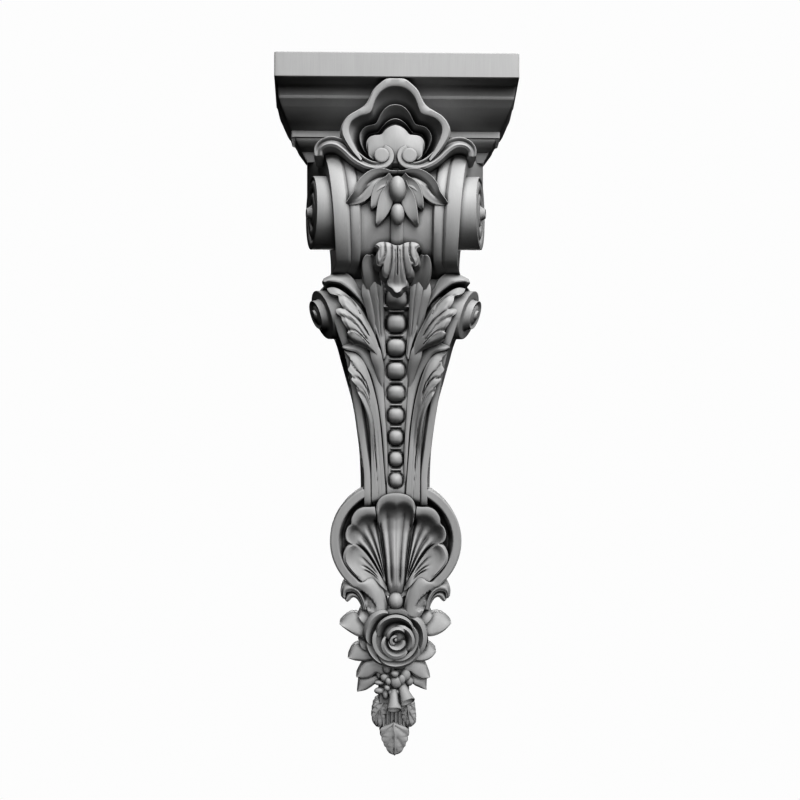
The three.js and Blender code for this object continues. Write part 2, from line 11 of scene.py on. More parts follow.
import bpy
import numpy as np
from mathutils import Euler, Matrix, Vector


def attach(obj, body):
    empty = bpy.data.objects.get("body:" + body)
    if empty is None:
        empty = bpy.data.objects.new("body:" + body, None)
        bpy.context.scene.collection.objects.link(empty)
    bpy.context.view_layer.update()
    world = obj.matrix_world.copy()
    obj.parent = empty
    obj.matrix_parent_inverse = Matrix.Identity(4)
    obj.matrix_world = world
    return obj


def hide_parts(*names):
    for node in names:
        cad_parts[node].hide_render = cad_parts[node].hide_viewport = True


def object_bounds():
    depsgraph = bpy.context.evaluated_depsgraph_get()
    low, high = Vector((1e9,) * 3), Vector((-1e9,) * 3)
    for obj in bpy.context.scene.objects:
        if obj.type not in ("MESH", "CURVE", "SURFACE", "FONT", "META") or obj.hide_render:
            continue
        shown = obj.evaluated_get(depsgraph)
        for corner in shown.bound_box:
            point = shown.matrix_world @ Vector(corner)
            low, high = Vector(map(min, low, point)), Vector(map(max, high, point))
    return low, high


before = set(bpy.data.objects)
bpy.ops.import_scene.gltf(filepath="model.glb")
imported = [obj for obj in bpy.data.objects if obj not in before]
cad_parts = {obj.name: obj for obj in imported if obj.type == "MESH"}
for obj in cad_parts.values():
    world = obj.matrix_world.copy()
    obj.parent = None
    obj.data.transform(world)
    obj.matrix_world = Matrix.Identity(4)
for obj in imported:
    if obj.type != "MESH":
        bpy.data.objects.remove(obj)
solid_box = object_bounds()
print("box of the solid model, in metres:", solid_box)

# %% [markdown]
# Three kinds of curve carry the whole carving. A flow is a smooth line through points on the face of
# the wall, a graph is a value that changes smoothly with another one, and a step or a bump is a soft
# edge or ridge. Sizes are in millimetres, x to the right, z up and off the wall toward the viewer.

# %% Curves and graphs
MM = 0.001


def flow(points, t):
    """Smooth line through points, for t from 0 to 1: between two points it is the cubic whose slope
    at each of them is half the step between that point's two neighbours."""
    points = np.asarray(points, float)
    last = len(points) - 1
    place = np.clip(np.asarray(t, float) * last, 0, last)
    i = np.minimum(place.astype(int), last - 1)
    s = (place - i)[..., None]
    before, start = points[np.maximum(i - 1, 0)], points[i]
    end, after = points[i + 1], points[np.minimum(i + 2, last)]
    leave, arrive = (end - before) / 2, (after - start) / 2
    bend = (2 * start - 2 * end + leave + arrive) * s**3
    return bend + (3 * end - 3 * start - 2 * leave - arrive) * s**2 + leave * s + start


def evenly(points, t):
    """The same line, but t measures the distance along it: the length is summed over fine steps and
    looked up backwards."""
    fine = np.linspace(0, 1, 40 * len(points))
    steps = np.linalg.norm(np.diff(flow(points, fine), axis=0), axis=1)
    length = np.concatenate([[0], np.cumsum(steps)])
    return flow(points, np.interp(t, length / length[-1], fine))


def graph(pairs, x):
    """A value through the given pairs of (x, value): cubic pieces whose slope at each pair is the
    mean of its neighbours' slopes, held to zero at a top or a bottom so that it never overshoots."""
    at, value = np.array(sorted(pairs), float).T
    width = np.diff(at)
    slope = np.diff(value) / width
    same = slope[:-1] * slope[1:] > 0
    total = np.where(same, slope[:-1] + slope[1:], 1)
    middle = np.where(same, 2 * slope[:-1] * slope[1:] / total, 0)
    lean = np.concatenate([slope[:1], middle, slope[-1:]])
    x = np.clip(np.asarray(x, float), at[0], at[-1])
    i = np.clip(np.searchsorted(at, x, side="right") - 1, 0, len(width) - 1)
    s = (x - at[i]) / width[i]
    rise = value[i + 1] - value[i]
    a, b = lean[i] * width[i], lean[i + 1] * width[i]
    return value[i] + a * s + (3 * rise - 2 * a - b) * s**2 + (a + b - 2 * rise) * s**3


def step(low, high, x):
    """0 below low, 1 above high, and a soft S between them: 3s squared less 2s cubed."""
    s = np.clip((np.asarray(x, float) - low) / (high - low), 0, 1)
    return s * s * (3 - 2 * s)


def bump(x, centre, width):
    """A soft ridge: e to the power of minus ((x - centre) / width) squared."""
    return np.exp(-(((x - centre) / width) ** 2))


def mix(a, b, t):
    """The value a part t of the way from a to b."""
    return a + (b - a) * t


print("flow through three points, halfway:", flow([(0, 0), (1, 1), (2, 0)], 0.5))

# %% [markdown]
# Every form is one of three closed shells. A relief is a sheet of heights with a rounded rim and
# straight sides that go down into the block, which is how a gouge leaves a leaf on its ground. A petal
# is a thin sheet with an inside and an outside. A turned form is a row of rings, closed at both ends,
# for balls, bells and scroll ends. Whatever way it is built, a shell is turned to face outward by
# the sign of its volume.

# %% Closed shells
carving = []


def keep(points, quads, caps):
    """Adds a closed shell: points as (x, off, z) in millimetres, faces of four and end faces. Its
    volume is a sixth of the sum of a . (b x c) over its triangles, and its sign turns the faces out."""
    spots = np.stack([points[:, 0], -points[:, 1], points[:, 2]], -1)
    quads = np.concatenate(quads)
    volume = 0.0
    for a, b, c in ((0, 1, 2), (0, 2, 3)):
        corner = np.cross(spots[quads[:, b]], spots[quads[:, c]])
        volume += np.sum(spots[quads[:, a]] * corner)
    for cap in caps:
        corner = np.cross(spots[cap[1:-1]], spots[cap[2:]])
        volume += np.sum(spots[cap[0]] * corner)
    if volume < 0:
        quads, caps = quads[:, ::-1], [cap[::-1] for cap in caps]
    carving.append((spots, quads, caps))


def cells(grid):
    """The faces of four of a grid of point numbers."""
    return np.stack([grid[:-1, :-1], grid[:-1, 1:], grid[1:, 1:], grid[1:, :-1]], -1).reshape(-1, 4)


def border(grid):
    """The numbers round the rim of a grid, in order."""
    return np.concatenate([grid[0, :-1], grid[:-1, -1], grid[-1, :0:-1], grid[:0:-1, 0]])


def strip(upper, lower):
    """The faces between two closed loops of the same length."""
    return np.stack([np.roll(upper, -1), upper, lower, np.roll(lower, -1)], -1)


ROUNDING = np.radians([40, 90])


def relief(x, z, off, back=0.0, edge=0.5, flare=0.5, drop=5.0):
    """A sheet of heights off over the points (x, z), one value each in a grid. Its rim is rounded
    over by a quarter circle of radius edge. From there the flank slopes out by flare, or by a part
    of it where it faces up, while it goes down by drop, and then runs straight to the depth back."""
    x, z, off, back_grid = np.broadcast_arrays(x, z, off, back)
    grid = np.arange(x.size).reshape(x.shape)
    rim = border(grid)
    sheet = np.stack([x, off, z], -1).reshape(-1, 3).astype(float)
    loop = sheet[rim]
    ahead = np.roll(loop, -1, 0) - np.roll(loop, 1, 0)
    area = np.sum(loop[:, 0] * np.roll(loop[:, 2], -1) - np.roll(loop[:, 0], -1) * loop[:, 2])
    outward = np.sign(area) * np.stack([ahead[:, 2], 0 * ahead[:, 0], -ahead[:, 0]], -1)
    outward /= np.linalg.norm(outward, axis=1)[:, None] + 1e-9
    inward = np.array([0.0, 1.0, 0.0])
    rings = [loop + edge * (np.sin(a) * outward - (1 - np.cos(a)) * inward) for a in ROUNDING if edge]
    if edge and flare:
        skirt = rings[-1] + flare * np.clip(0.7 - outward[:, 2:], 0.15, 1) * outward
        skirt[:, 1] = np.maximum(rings[-1][:, 1] - drop, back_grid.ravel()[0] + 0.01)
        rings.append(skirt)
    foot = (rings[-1] if rings else loop).copy()
    foot[:, 1] = back_grid.ravel()[0]
    rings.append(foot)
    count = len(rim)
    loops = [rim] + [grid.size + count * k + np.arange(count) for k in range(len(rings))]
    quads = [cells(grid)] + [strip(a, b) for a, b in zip(loops[:-1], loops[1:])]
    keep(np.concatenate([sheet] + rings), quads, [loops[-1][::-1]])


def petal(points, thick):
    """A thin curved sheet: the grid of points (x, off, z) and a second one a thickness behind it,
    along the cross product of the grid's own two directions, thinned to a lip round the rim."""
    along, across = np.gradient(points, axis=0), np.gradient(points, axis=1)
    normal = np.cross(along, across)
    normal /= np.linalg.norm(normal, axis=2)[..., None] + 1e-9
    if normal[..., 1].mean() < 0:
        normal = -normal
    rows, columns = points.shape[:2]
    v = np.sin(np.pi * np.linspace(0, 1, rows))[:, None]
    u = np.sin(np.pi * np.linspace(0, 1, columns))[None, :]
    body = thick * (0.35 + 0.65 * np.clip(3 * u, 0, 1) * np.clip(3 * v, 0, 1))[..., None]
    grid = np.arange(rows * columns).reshape(rows, columns)
    behind = grid + grid.size
    sheet = np.concatenate([(points + normal * body / 2).reshape(-1, 3),
                            (points - normal * body / 2).reshape(-1, 3)])
    keep(sheet, [cells(grid), cells(behind)[:, ::-1], strip(border(grid), border(behind))], [])


def turned(rings):
    """A row of closed rings of points (x, off, z), with a flat face at each end."""
    count, sides = rings.shape[:2]
    grid = np.arange(count * sides).reshape(count, sides)
    quads = [strip(grid[i], grid[i + 1]) for i in range(count - 1)]
    keep(rings.reshape(-1, 3), quads, [grid[0], grid[-1][::-1]])


def ball(x, z, off, half_width, half_height, half_depth, sides=24):
    """A ball stretched to three half sizes, as rings from its back to its front."""
    lean = np.linspace(-0.5 * np.pi + 0.02, 0.5 * np.pi - 0.02, sides // 2 + 1)[:, None]
    turn = np.linspace(0, 2 * np.pi, sides, endpoint=False)[None, :]
    radius = np.cos(lean)
    turned(np.stack([x + half_width * radius * np.cos(turn), off + half_depth * np.sin(lean) + 0 * turn,
                     z + half_height * radius * np.sin(turn)], -1))


def blade(points, half, off, back, columns=12, rows=32, edge=0.5, **flank):
    """A leaf or lobe: half(v) is its half width at each part v of its length, and off(t, v) its height,
    with t from -1 at its left edge to 1 at its right."""
    v = np.linspace(0, 1, rows + 1)[:, None]
    t = np.linspace(-1, 1, columns + 1)[None, :]
    spine = evenly(points, v[:, 0])
    run = np.gradient(spine, axis=0)
    run /= np.linalg.norm(run, axis=1)[:, None]
    reach = half(v) * t
    x, z = spine[:, :1] - run[:, 1:] * reach, spine[:, 1:] + run[:, :1] * reach
    relief(x, z, off(t, v), back, edge, **flank)


def grown(points, widths, heights, across, back, **more):
    """A blade whose half width and height are graphs along it, each a list of (part of its length,
    value). The form across(t, v) is added to its height."""
    blade(points, lambda v: graph(widths, v), lambda t, v: graph(heights, v) + across(t, v), back, **more)


def band(inner, outer, off, back, columns=12, rows=48, edge=0.5, **flank):
    """A form between two edge lines of as many points: off(s, v, z) is its height, s from 0 at the
    inner edge to 1 at the outer."""
    v = np.linspace(0, 1, rows + 1)
    s = np.linspace(0, 1, columns + 1)[None, :]
    a, b = flow(inner, v), flow(outer, v)
    x = mix(a[:, :1], b[:, :1], s)
    z = mix(a[:, 1:], b[:, 1:], s)
    relief(x, z, off(s, v[:, None], z), back, edge, **flank)


def fan(left, right, rim, off, back, columns=24, rows=48, edge=0.5, spread=3, **flank):
    """A lobe that fans out from its root between two side lines to a rim line, which runs from the end
    of the left one to the end of the right one: the gap between the rim and the straight end line is
    added in proportion to v to the power of spread. Its height is off(s, v, x, z)."""
    v = np.linspace(0, 1, rows + 1)
    s = np.linspace(0, 1, columns + 1)
    a, b, end = evenly(left, v), evenly(right, v), evenly(rim, s)
    gap = end - mix(a[-1], b[-1], s[:, None])
    spot = mix(a[:, None], b[:, None], s[None, :, None]) + gap[None] * (v**spread)[:, None, None]
    x, z = spot[..., 0], spot[..., 1]
    relief(x, z, off(s[None, :], v[:, None], x, z), back, edge, **flank)


def furrow(points, x, z, width, root=0.25):
    """1 along a smooth line and less beside it: exp of minus the square of the distance over a width,
    which grows from a part of itself at the start of the line to the whole at its end."""
    t = np.linspace(0, 1, 12 * len(points))
    fine = flow(points, t)
    gap = np.hypot(x[..., None] - fine[:, 0], z[..., None] - fine[:, 1]) / (width * mix(root, 1, t))
    return np.exp(-gap.min(-1) ** 2)


def mirrored(points, side):
    """The same points on the right (side 1) or the left (side -1) of the middle."""
    return [(x * side, z) for x, z in points]


def moved(points, right, up=0.0):
    """The same points, shifted to the right and up."""
    return [(x + right, z + up) for x, z in points]


TIP = 0.4


def swell(widest, lean, root, blunt):
    """The half width of a leaf: a half sine that starts at a root and closes to a small tip."""
    def half(v):
        full = np.maximum(root * (1 - v), np.sin(np.pi * np.clip(v, 0, 1) ** lean))
        return widest * np.clip(full, 0, 1) ** blunt + TIP
    return half


SIDES = (1, -1)
WALL_GAP = 0.4
BACK = 0.3
print("half width of a leaf halfway along:", swell(5.2, 0.9, 0.6, 0.85)(0.5), "mm")

# %% [markdown]
# The cornice is the shelf that carries the load. On the real one it is planed before the carving
# starts: a plain fascia, a hollow and round moulding below it, a fillet and a small ovolo. It is one
# profile, carried across the front and returned along both sides to the wall, where it is wider.

# %% Cornice
CORNICE = np.array([
    # height, off the wall, half width in front, half width at the wall
    [40, 86.3, 99.3, 107.2], [39.2, 87, 100, 108], [20.2, 87, 100, 107], [19.5, 86.3, 99.4, 106.4],
    [18.4, 72.4, 99.5, 106], [18, 71.6, 99.5, 105.9], [10.8, 67.2, 99, 104.2], [10.4, 67, 98.9, 104.1],
    [8.4, 66.8, 98.6, 103.4], [8, 66.4, 98.5, 103.3], [3, 62.6, 96.9, 100.9], [2.6, 62.2, 96.7, 100.8],
    [-6, 52.2, 93, 97], [-8.4, 38.6, 91.7, 95.4], [-9.2, 35.7, 91.5, 95], [-9.6, 33.5, 90.9, 94.2],
    [-15, 33.5, 90.9, 92.6], [-15.6, 31.5, 87.6, 90.4], [-17.4, 30.9, 87.1, 89.3], [-19, 29.5, 86.3, 88.3],
    [-20.8, 27, 85.6, 87.6], [-22, 24, 85, 87], [-23.5, 15, 84, 86], [-31.7, 12, 79, 80],
])
height, front, half, wall_half = (CORNICE[:, i:i + 1] for i in range(4))
turn_in = np.array([[0.0, 0.25, 0.9, 2.0]])
fall = np.array([[1.1, 0.45, 0.12, 0.0]])
side_t = np.linspace(0, 1, 4)[None, :-1]
side_x = mix(wall_half, half, side_t)
side_off = mix(WALL_GAP + 0 * front, front - fall[0, 0], side_t)
right_x = np.concatenate([side_x, half - turn_in], 1)
right_off = np.concatenate([side_off, front - fall], 1)
middle_x = half * np.linspace(-0.9, 0.9, 13)[None, :]
relief(np.concatenate([-right_x, middle_x, right_x[:, ::-1]], 1), height,
       np.concatenate([right_off, front + 0 * middle_x, right_off[:, ::-1]], 1), edge=0)
print("cornice:", len(CORNICE), "levels, shelf", 2 * half.max(), "mm wide in front")

# %% [markdown]
# The console is the body of the bracket. Seen from the side it is a big scroll that bulges forward,
# tucks in, bulges again in a small scroll and runs down in a leg. Across its front lie two rims, two
# inner fillets and a sunk field. So it is one cross-section whose widths and heights change with z.

# %% Line of the front, seen from the side
# Each scroll is (off the wall, height, radius). The lists of pairs give a value at a height: how far
# off the wall the leg stands, half widths, widths of the bands and how deep or high they lie.
LEG_FOOT = -341
SCROLL = (22, -88.3, 63)
LOW_SCROLL = (21, -168.6, 21.2)
LEG_LINE = [(LEG_FOOT, 20), (-337, 26), (-333, 29), (-326, 29.5), (-288, 28), (-246, 31.5), (-189, 40.5),
            (-172, 42.1)]
RIM_EDGE = [(LEG_FOOT, 27.8), (-313, 27.8), (-288, 30.6), (-260, 34.6), (-233, 39), (-215, 42), (-200, 45.5),
            (-188, 49.6), (-171, 55), (-158, 60), (-147, 65), (-138, 56), (-128, 50.5), (-100, 51.5),
            (-80, 53), (-51, 57), (-36, 61), (-16, 65)]
WALL_EDGE = [(LEG_FOOT, 31), (-316, 31.2), (-293, 32.2), (-269, 35), (-247, 38.5), (-225, 44.4), (-209, 48.9),
             (-193, 53.4), (-171, 64), (-158, 68), (-147, 69), (-138, 62), (-128, 58), (-110, 59),
             (-85, 70), (-60, 79.5), (-16, 79.5)]
RIM_BAND = [(LEG_FOOT, 5.6), (-246, 6.5), (-190, 8), (-120, 11.2), (-80, 12), (-16, 12)]
FILLET_BAND = [(LEG_FOOT, 4.2), (-246, 5), (-190, 8), (-120, 9), (-80, 10), (-16, 10)]
STRIP_HALF = [(LEG_FOOT, 7.4), (-225, 10.7), (-150, 13), (-125, 5.6), (-16, 5.6)]
STRIP_RISE = [(LEG_FOOT, -1.2), (-150, -1.2), (-132, 4), (-16, 4)]
FIELD_SINK = [(LEG_FOOT, 3), (-190, 3.2), (-125, 8.5), (-16, 8.5)]


def arc(off, z, radius, start, stop, count):
    """Points on a circle seen from the side: off + r cos a, z + r sin a."""
    a = np.radians(np.linspace(start, stop, count))
    return np.stack([off + radius * np.cos(a), z + radius * np.sin(a)], -1)


leg_z = np.linspace(-174, LEG_FOOT, 32)
front_line = np.concatenate([
    [[20, -16]],
    arc(*SCROLL, 90, -33, 44),
    arc(55, -110, 24, -45, -75, 7),
    [[42, -138.5], [26, -143.5], [22, -147]],
    arc(*LOW_SCROLL, 75, 0, 16),
    np.stack([graph(LEG_LINE, leg_z), leg_z], -1),
])
line_off, line_z = front_line[:, :1], front_line[:, 1:]
print("front line:", len(front_line), "points, foremost", line_off.max(), "mm")


# %% Console and leg
edge_x, wall_x = graph(RIM_EDGE, line_z), graph(WALL_EDGE, line_z)
inner_x = edge_x - graph(RIM_BAND, line_z)
low_x = inner_x - graph(FILLET_BAND, line_z)

# Between the two scrolls the field is filled up, so that the shoots have a ground to rise from.
FILL_TOP, FILL_HEIGHT, FILL_REACH = 41, -149, 15
fill = FILL_TOP * bump(line_z, FILL_HEIGHT, FILL_REACH)
sunk = np.maximum(line_off - graph(FIELD_SINK, line_z), fill)
strip_x = np.minimum(graph(STRIP_HALF, line_z), low_x - 2)
rim_top, rise = line_off, graph(STRIP_RISE, line_z)
fillet_top = np.maximum(line_off - 2.4, 3.6)
section = [
    # side wall
    (wall_x, WALL_GAP + 0 * rim_top), (mix(edge_x, wall_x, 0.5), rim_top * 0.3),
    (mix(edge_x, wall_x, 0.2), rim_top * 0.6),
    # rim
    (edge_x, rim_top - 0.9), (edge_x - 0.3, rim_top - 0.25), (edge_x - 1, rim_top),
    (mix(edge_x, inner_x, 0.5), rim_top), (inner_x + 0.9, rim_top), (inner_x + 0.2, rim_top - 0.3),
    # fillet
    (inner_x - 1.2, fillet_top - 0.6), (inner_x - 1.6, fillet_top - 0.9), (inner_x - 2.2, fillet_top - 0.3),
    (mix(low_x, inner_x, 0.4), fillet_top + 0.1), (low_x + 0.5, fillet_top - 0.1), (low_x, fillet_top - 0.6),
    # field
    (low_x - 1.2, sunk + 0.3), (low_x - 2.2, sunk), (mix(strip_x, low_x, 0.5), sunk), (strip_x + 0.8, sunk),
    # strip down the middle
    (strip_x + 0.1, sunk + 0.1 * rise), (strip_x - 0.5, sunk + 0.75 * rise),
    (strip_x - 1.3, sunk + 0.93 * rise), (strip_x * 0.3, sunk + rise),
]
half_x = np.concatenate([np.broadcast_to(x, line_z.shape) for x, off in section], 1)
half_off = np.concatenate([np.maximum(off, BACK) for x, off in section], 1)
relief(np.concatenate([-half_x, half_x[:, ::-1]], 1), line_z,
       np.concatenate([half_off, half_off[:, ::-1]], 1), edge=0)
print("console section:", 2 * len(section), "points across")

# %% [markdown]
# At each side the console ends in a drum with a scroll cut in its face, and below it in a smaller one
# with a raised disc and an eye. A drum is a turned form whose axis runs sideways: rings go out along
# its wall, over a rounded corner and in across the face. The scroll is a groove that winds inward,
# so its depth depends on the radius and on the turn together.

# %% Scroll ends
DRUM = (45, -83.4, 31)
LOW_DRUM = (21.4, -168.6, 21.2)


def drum_face(off, z):
    """How far out the big drum's leaning face stands."""
    return 65.8 + 0.223 * (76 - off)


def low_face(off, z):
    """The same for the small drum, whose face also leans forward at its foot."""
    return 65 + 0.4 * (21 - off) + 0.3 * (z - LOW_DRUM[1])


def drum(side, centre, face, inside, raised, sides=64):
    """Rings round a sideways axis: a wall from x = inside, a corner, and a face lifted by
    raised(radius, turn)."""
    off, z, radius = centre
    a = np.linspace(0, 2 * np.pi, sides, endpoint=False)[None, :]
    corner = [radius, radius, radius - 0.15, radius - 0.6]
    reach = np.concatenate([corner, np.linspace(radius - 1.2, 0.1, 24)])[:, None]
    depth, height = off + reach * np.cos(a), z + reach * np.sin(a)
    plain = face(depth, height)
    x = plain + raised(reach, a)
    x[1] = plain[1] - 0.8
    x[2] = plain[2] - 0.2
    x[0] = inside
    turned(np.stack([side * x, depth, height], -1))


def big_scroll(reach, a):
    """A groove that has wound in one pitch further after each turn."""
    pitch, deep = 10.5, 1.8
    phase = (DRUM[2] - reach) / pitch + a / (2 * np.pi)
    groove = bump(phase % 1, 0.5, 0.16)
    eye = 4.2 * (1 - step(4.6, 5.8, reach)) - 1.2 * bump(reach, 0, 2)
    return eye - deep * groove * step(7, 9, reach) * (1 - step(28, 30, reach))


def small_scroll(reach, a):
    """A raised disc and, on it, an eye."""
    return 6 * (1 - step(12.2, 13.4, reach)) - 1.4 * bump(reach, 9, 2.2) + 2 * (1 - step(3.4, 4.4, reach))


for side in SIDES:
    drum(side, DRUM, drum_face, 40, big_scroll)
    drum(side, LOW_DRUM, low_face, 30, small_scroll, sides=52)
print("scroll ends: 2 drums on each side, radius", DRUM[2], "and", LOW_DRUM[2], "mm")

# %% [markdown]
# Under the shelf sits a cartouche: a three-lobed frame that steps back in a bright rim, a hollow, a
# ridge, a cove and a thin ridge round a smooth shield. All these are lines of one family, so the frame
# is one relief whose columns follow the lines and whose heights are the steps between them. Two arms
# sweep in from the sides and wind into volutes in front of it.

# %% Cartouche frame and shield
FRAME_LINES = [
    [(0, 18.6), (7.1, 18.4), (12.8, 14.6), (18, 9.4), (20.8, 3.7), (23.3, -0.9), (26.5, -4.3), (32.3, -7.7),
     (38, -11.2), (42, -15.8), (44.5, -21.5), (44.3, -26.7), (42, -31.8), (39.1, -36.4), (35.7, -41),
     (28.8, -48.4)],
    [(0, 12), (5.9, 11.2), (11.7, 7.7), (15.7, 2.6), (18, -3.2), (19.6, -7.6), (22.5, -10.3), (28.8, -12),
     (34, -14.8), (36.8, -18.1), (38, -22.6), (37.4, -26.4), (36, -30.6), (34.2, -34.4), (31.6, -39.4),
     (27.4, -46)],
    [(0, -0.9), (5.2, -1.9), (9.6, -5.3), (12.6, -9.8), (14.8, -14.6), (16.6, -16.8), (18.8, -17.7),
     (23.7, -18.8), (26.6, -20.8), (28.8, -24), (29.6, -27.5), (29.2, -31), (28, -34.6), (26, -38.4),
     (23.4, -41.8), (20, -45)],
    [(0, -10.8), (4, -11.8), (7.6, -14.2), (10.6, -17.4), (13, -20.8), (14.8, -22.4), (17, -22.8),
     (19.8, -23.2), (22, -24.2), (23.8, -26.6), (24.5, -29.4), (24.5, -32.4), (24.1, -35.2), (22.9, -38.4),
     (21, -41.4), (18.8, -44)],
    [(0, -18.3), (3.6, -19.4), (6.4, -21), (8.4, -22.8), (9.8, -24.6), (11.4, -25.7), (14, -26),
     (17.4, -26.1), (20, -26.8), (22, -28.4), (23.1, -30.6), (23.3, -33), (23.1, -35.6), (22.3, -38.2),
     (21, -40.6), (18.6, -43.4)],
]
FRAME_STEPS = [
    # line, height
    (0, 84.4), (0.06, 85.9), (0.2, 86.6), (0.6, 86.4), (0.9, 86), (0.98, 85.6), (1.02, 84), (1.08, 81.6),
    (1.3, 77.2), (1.6, 72.6), (1.84, 70.2), (1.9, 71.4), (1.96, 78.6), (2, 80.8), (2.05, 81.2), (2.12, 80.6),
    (2.3, 77), (2.6, 72.8), (2.85, 70.4), (2.93, 72), (2.98, 75), (3.04, 75.4), (3.08, 74.4), (3.13, 69),
    (3.2, 65.4), (3.6, 65), (4, 65),
]
SHIFT = -1.2
place, level = np.array(FRAME_STEPS).T
v = np.linspace(-1, 1, 81)
lines = np.stack([evenly(line, np.abs(v)) for line in FRAME_LINES])
lines[..., 0] *= np.sign(v)[None, :]
low = np.minimum(place.astype(int), len(FRAME_LINES) - 2)
part = (place - low)[:, None, None]
spread = mix(lines[low], lines[low + 1], part)
frame_x, frame_z = spread[..., 0] + SHIFT, spread[..., 1]
relief(frame_x, frame_z, level[:, None] + 0.05 * (frame_z + 20), 40, edge=0.4)

shield_rim = lines[-1]
s = np.linspace(0, 1, 12)[:, None]
shield_x = mix(shield_rim[None, :, 0] * 0.9, shield_rim[None, :, 0], s) + SHIFT
shield_z = mix(-48 + 0 * shield_rim[None, :, 1], shield_rim[None, :, 1], s)
crown = 76.4 + 4 * np.cos(0.5 * np.pi * np.clip(shield_x / 24, -1, 1)) + 2 * np.sin(np.pi * s)
relief(shield_x, shield_z, crown, 40, edge=1.2)
print("cartouche:", len(FRAME_STEPS), "steps between", len(FRAME_LINES), "lines")

# %% Arms and volutes
def disc(x, z, radius, top):
    """A low button: rings up its side, over a rounded corner and in across a nearly flat top."""
    a = np.linspace(0, 2 * np.pi, 48, endpoint=False)[None, :]
    reach = radius * np.array([[1.12, 1.05, 1.0, 0.96, 0.88, 0.7, 0.4, 0.01]]).T
    off = top - np.array([[14, 5, 1.2, 0.4, 0.1, 0.05, 0.0, 0.0]]).T
    turned(np.stack([x + reach * np.cos(a), off + 0 * a, z + reach * np.sin(a)], -1))


ARM = [(63.6, -41.6), (63.2, -36.4), (59, -32.6), (52.7, -31.4), (46.4, -33), (40.1, -37.5), (34.4, -43.1),
       (28.7, -47.7), (22.9, -50.9), (17.2, -52.3), (11.4, -51.8), (6.4, -49), (4, -44.4), (5.2, -39.6),
       (9, -37)]
ARM_HALF = [(0, 2.6), (0.08, 3.1), (0.2, 3.7), (0.45, 4.2), (0.62, 3.3), (0.75, 2.7), (1, 1.8)]
ARM_TOP = [(0, 77), (0.2, 81), (0.45, 83), (0.7, 85.6), (0.85, 84.6), (1, 83.4)]
ARM_FLUTE = [(0, 0.3), (0.12, 1), (0.6, 1), (0.8, 0)]


def arm_form(side):
    """A ridge along the arm's outer edge and a flute beside it, which fade toward the volute."""
    def across(t, v):
        ridge, flute = 1.3 * bump(side * t, 0.62, 0.35), 2.2 * bump(side * t, -0.3, 0.4)
        return graph(ARM_FLUTE, v) * (ridge - flute)
    return across


for side in SIDES:
    grown(moved(mirrored(ARM, side), SHIFT), ARM_HALF, ARM_TOP, arm_form(side), 40, rows=60, edge=0.7)
    disc(11.4 * side + SHIFT, -43.9, 6.1, 87.4)
print("arms: a ribbon", 2 * max(half for part, half in ARM_HALF), "mm wide that winds into each volute")

# %% [markdown]
# A leaf hangs below the cartouche. Each of its sides has a broad lobe that folds over a crease and two
# narrow ones, and two eggs lie on its middle. A lobe is a blade: a half width and a height along a
# line, with the crease as a valley that crosses it.

# %% Top leaf and eggs
BROAD_LOBE = [(0.5, -62), (9, -62), (17, -64), (25, -70), (31, -77.5), (40.6, -83)]
MIDDLE_LOBE = [(4, -62), (10.5, -68), (15, -76), (20.6, -86.8)]
LONG_LOBE = [(4, -66), (8, -77), (11.4, -88), (16.4, -99.6)]


def folded(t, v):
    """The broad lobe: it swells halfway, turns up outward and folds over a crease that crosses it."""
    crease = bump(t, 0.35 - 0.5 * v, 0.16) * (1 - step(0.55, 0.9, v))
    return 84.5 + 3.2 * np.sin(np.pi * v) + 2.4 * t * (0.4 + v) - 2.6 * crease + 1.6 * t * t


def hollowed(t, v):
    """How deep the narrow lobes are scooped along their middle, most of all at the root."""
    return 1.4 * (1 - t * t) * (1 - v)


for side in SIDES:
    blade(mirrored(BROAD_LOBE, side), swell(7.6, 0.8, 0.55, 0.8),
          lambda t, v: folded(side * t, v), 62, rows=24)
    blade(mirrored(MIDDLE_LOBE, side), swell(5.2, 0.9, 0.6, 0.85),
          lambda t, v: 88 + 1.2 * side * t - hollowed(t, v) - 2 * v, 62, rows=16)
    blade(mirrored(LONG_LOBE, side), swell(5.2, 0.85, 0.6, 0.85),
          lambda t, v: 87.4 + 1.8 * side * t * v - hollowed(t, v) - 2.4 * v, 62, rows=20)
ball(0.3, -72, 87.6, 6.9, 11, 8.2)
ball(0.3, -91.8, 85, 5.7, 9.4, 6.6)
print("top leaf: 6 lobes and 2 eggs")

# %% [markdown]
# A small leaf curls over the head of the beading. Its upper edge makes two shoulders with sharp corners,
# and its lower edge steps in over two rounded lobes on each side to the middle lobe, whose tip flips
# forward. Flutes run from the middle of the upper edge to the notches between the lobes.

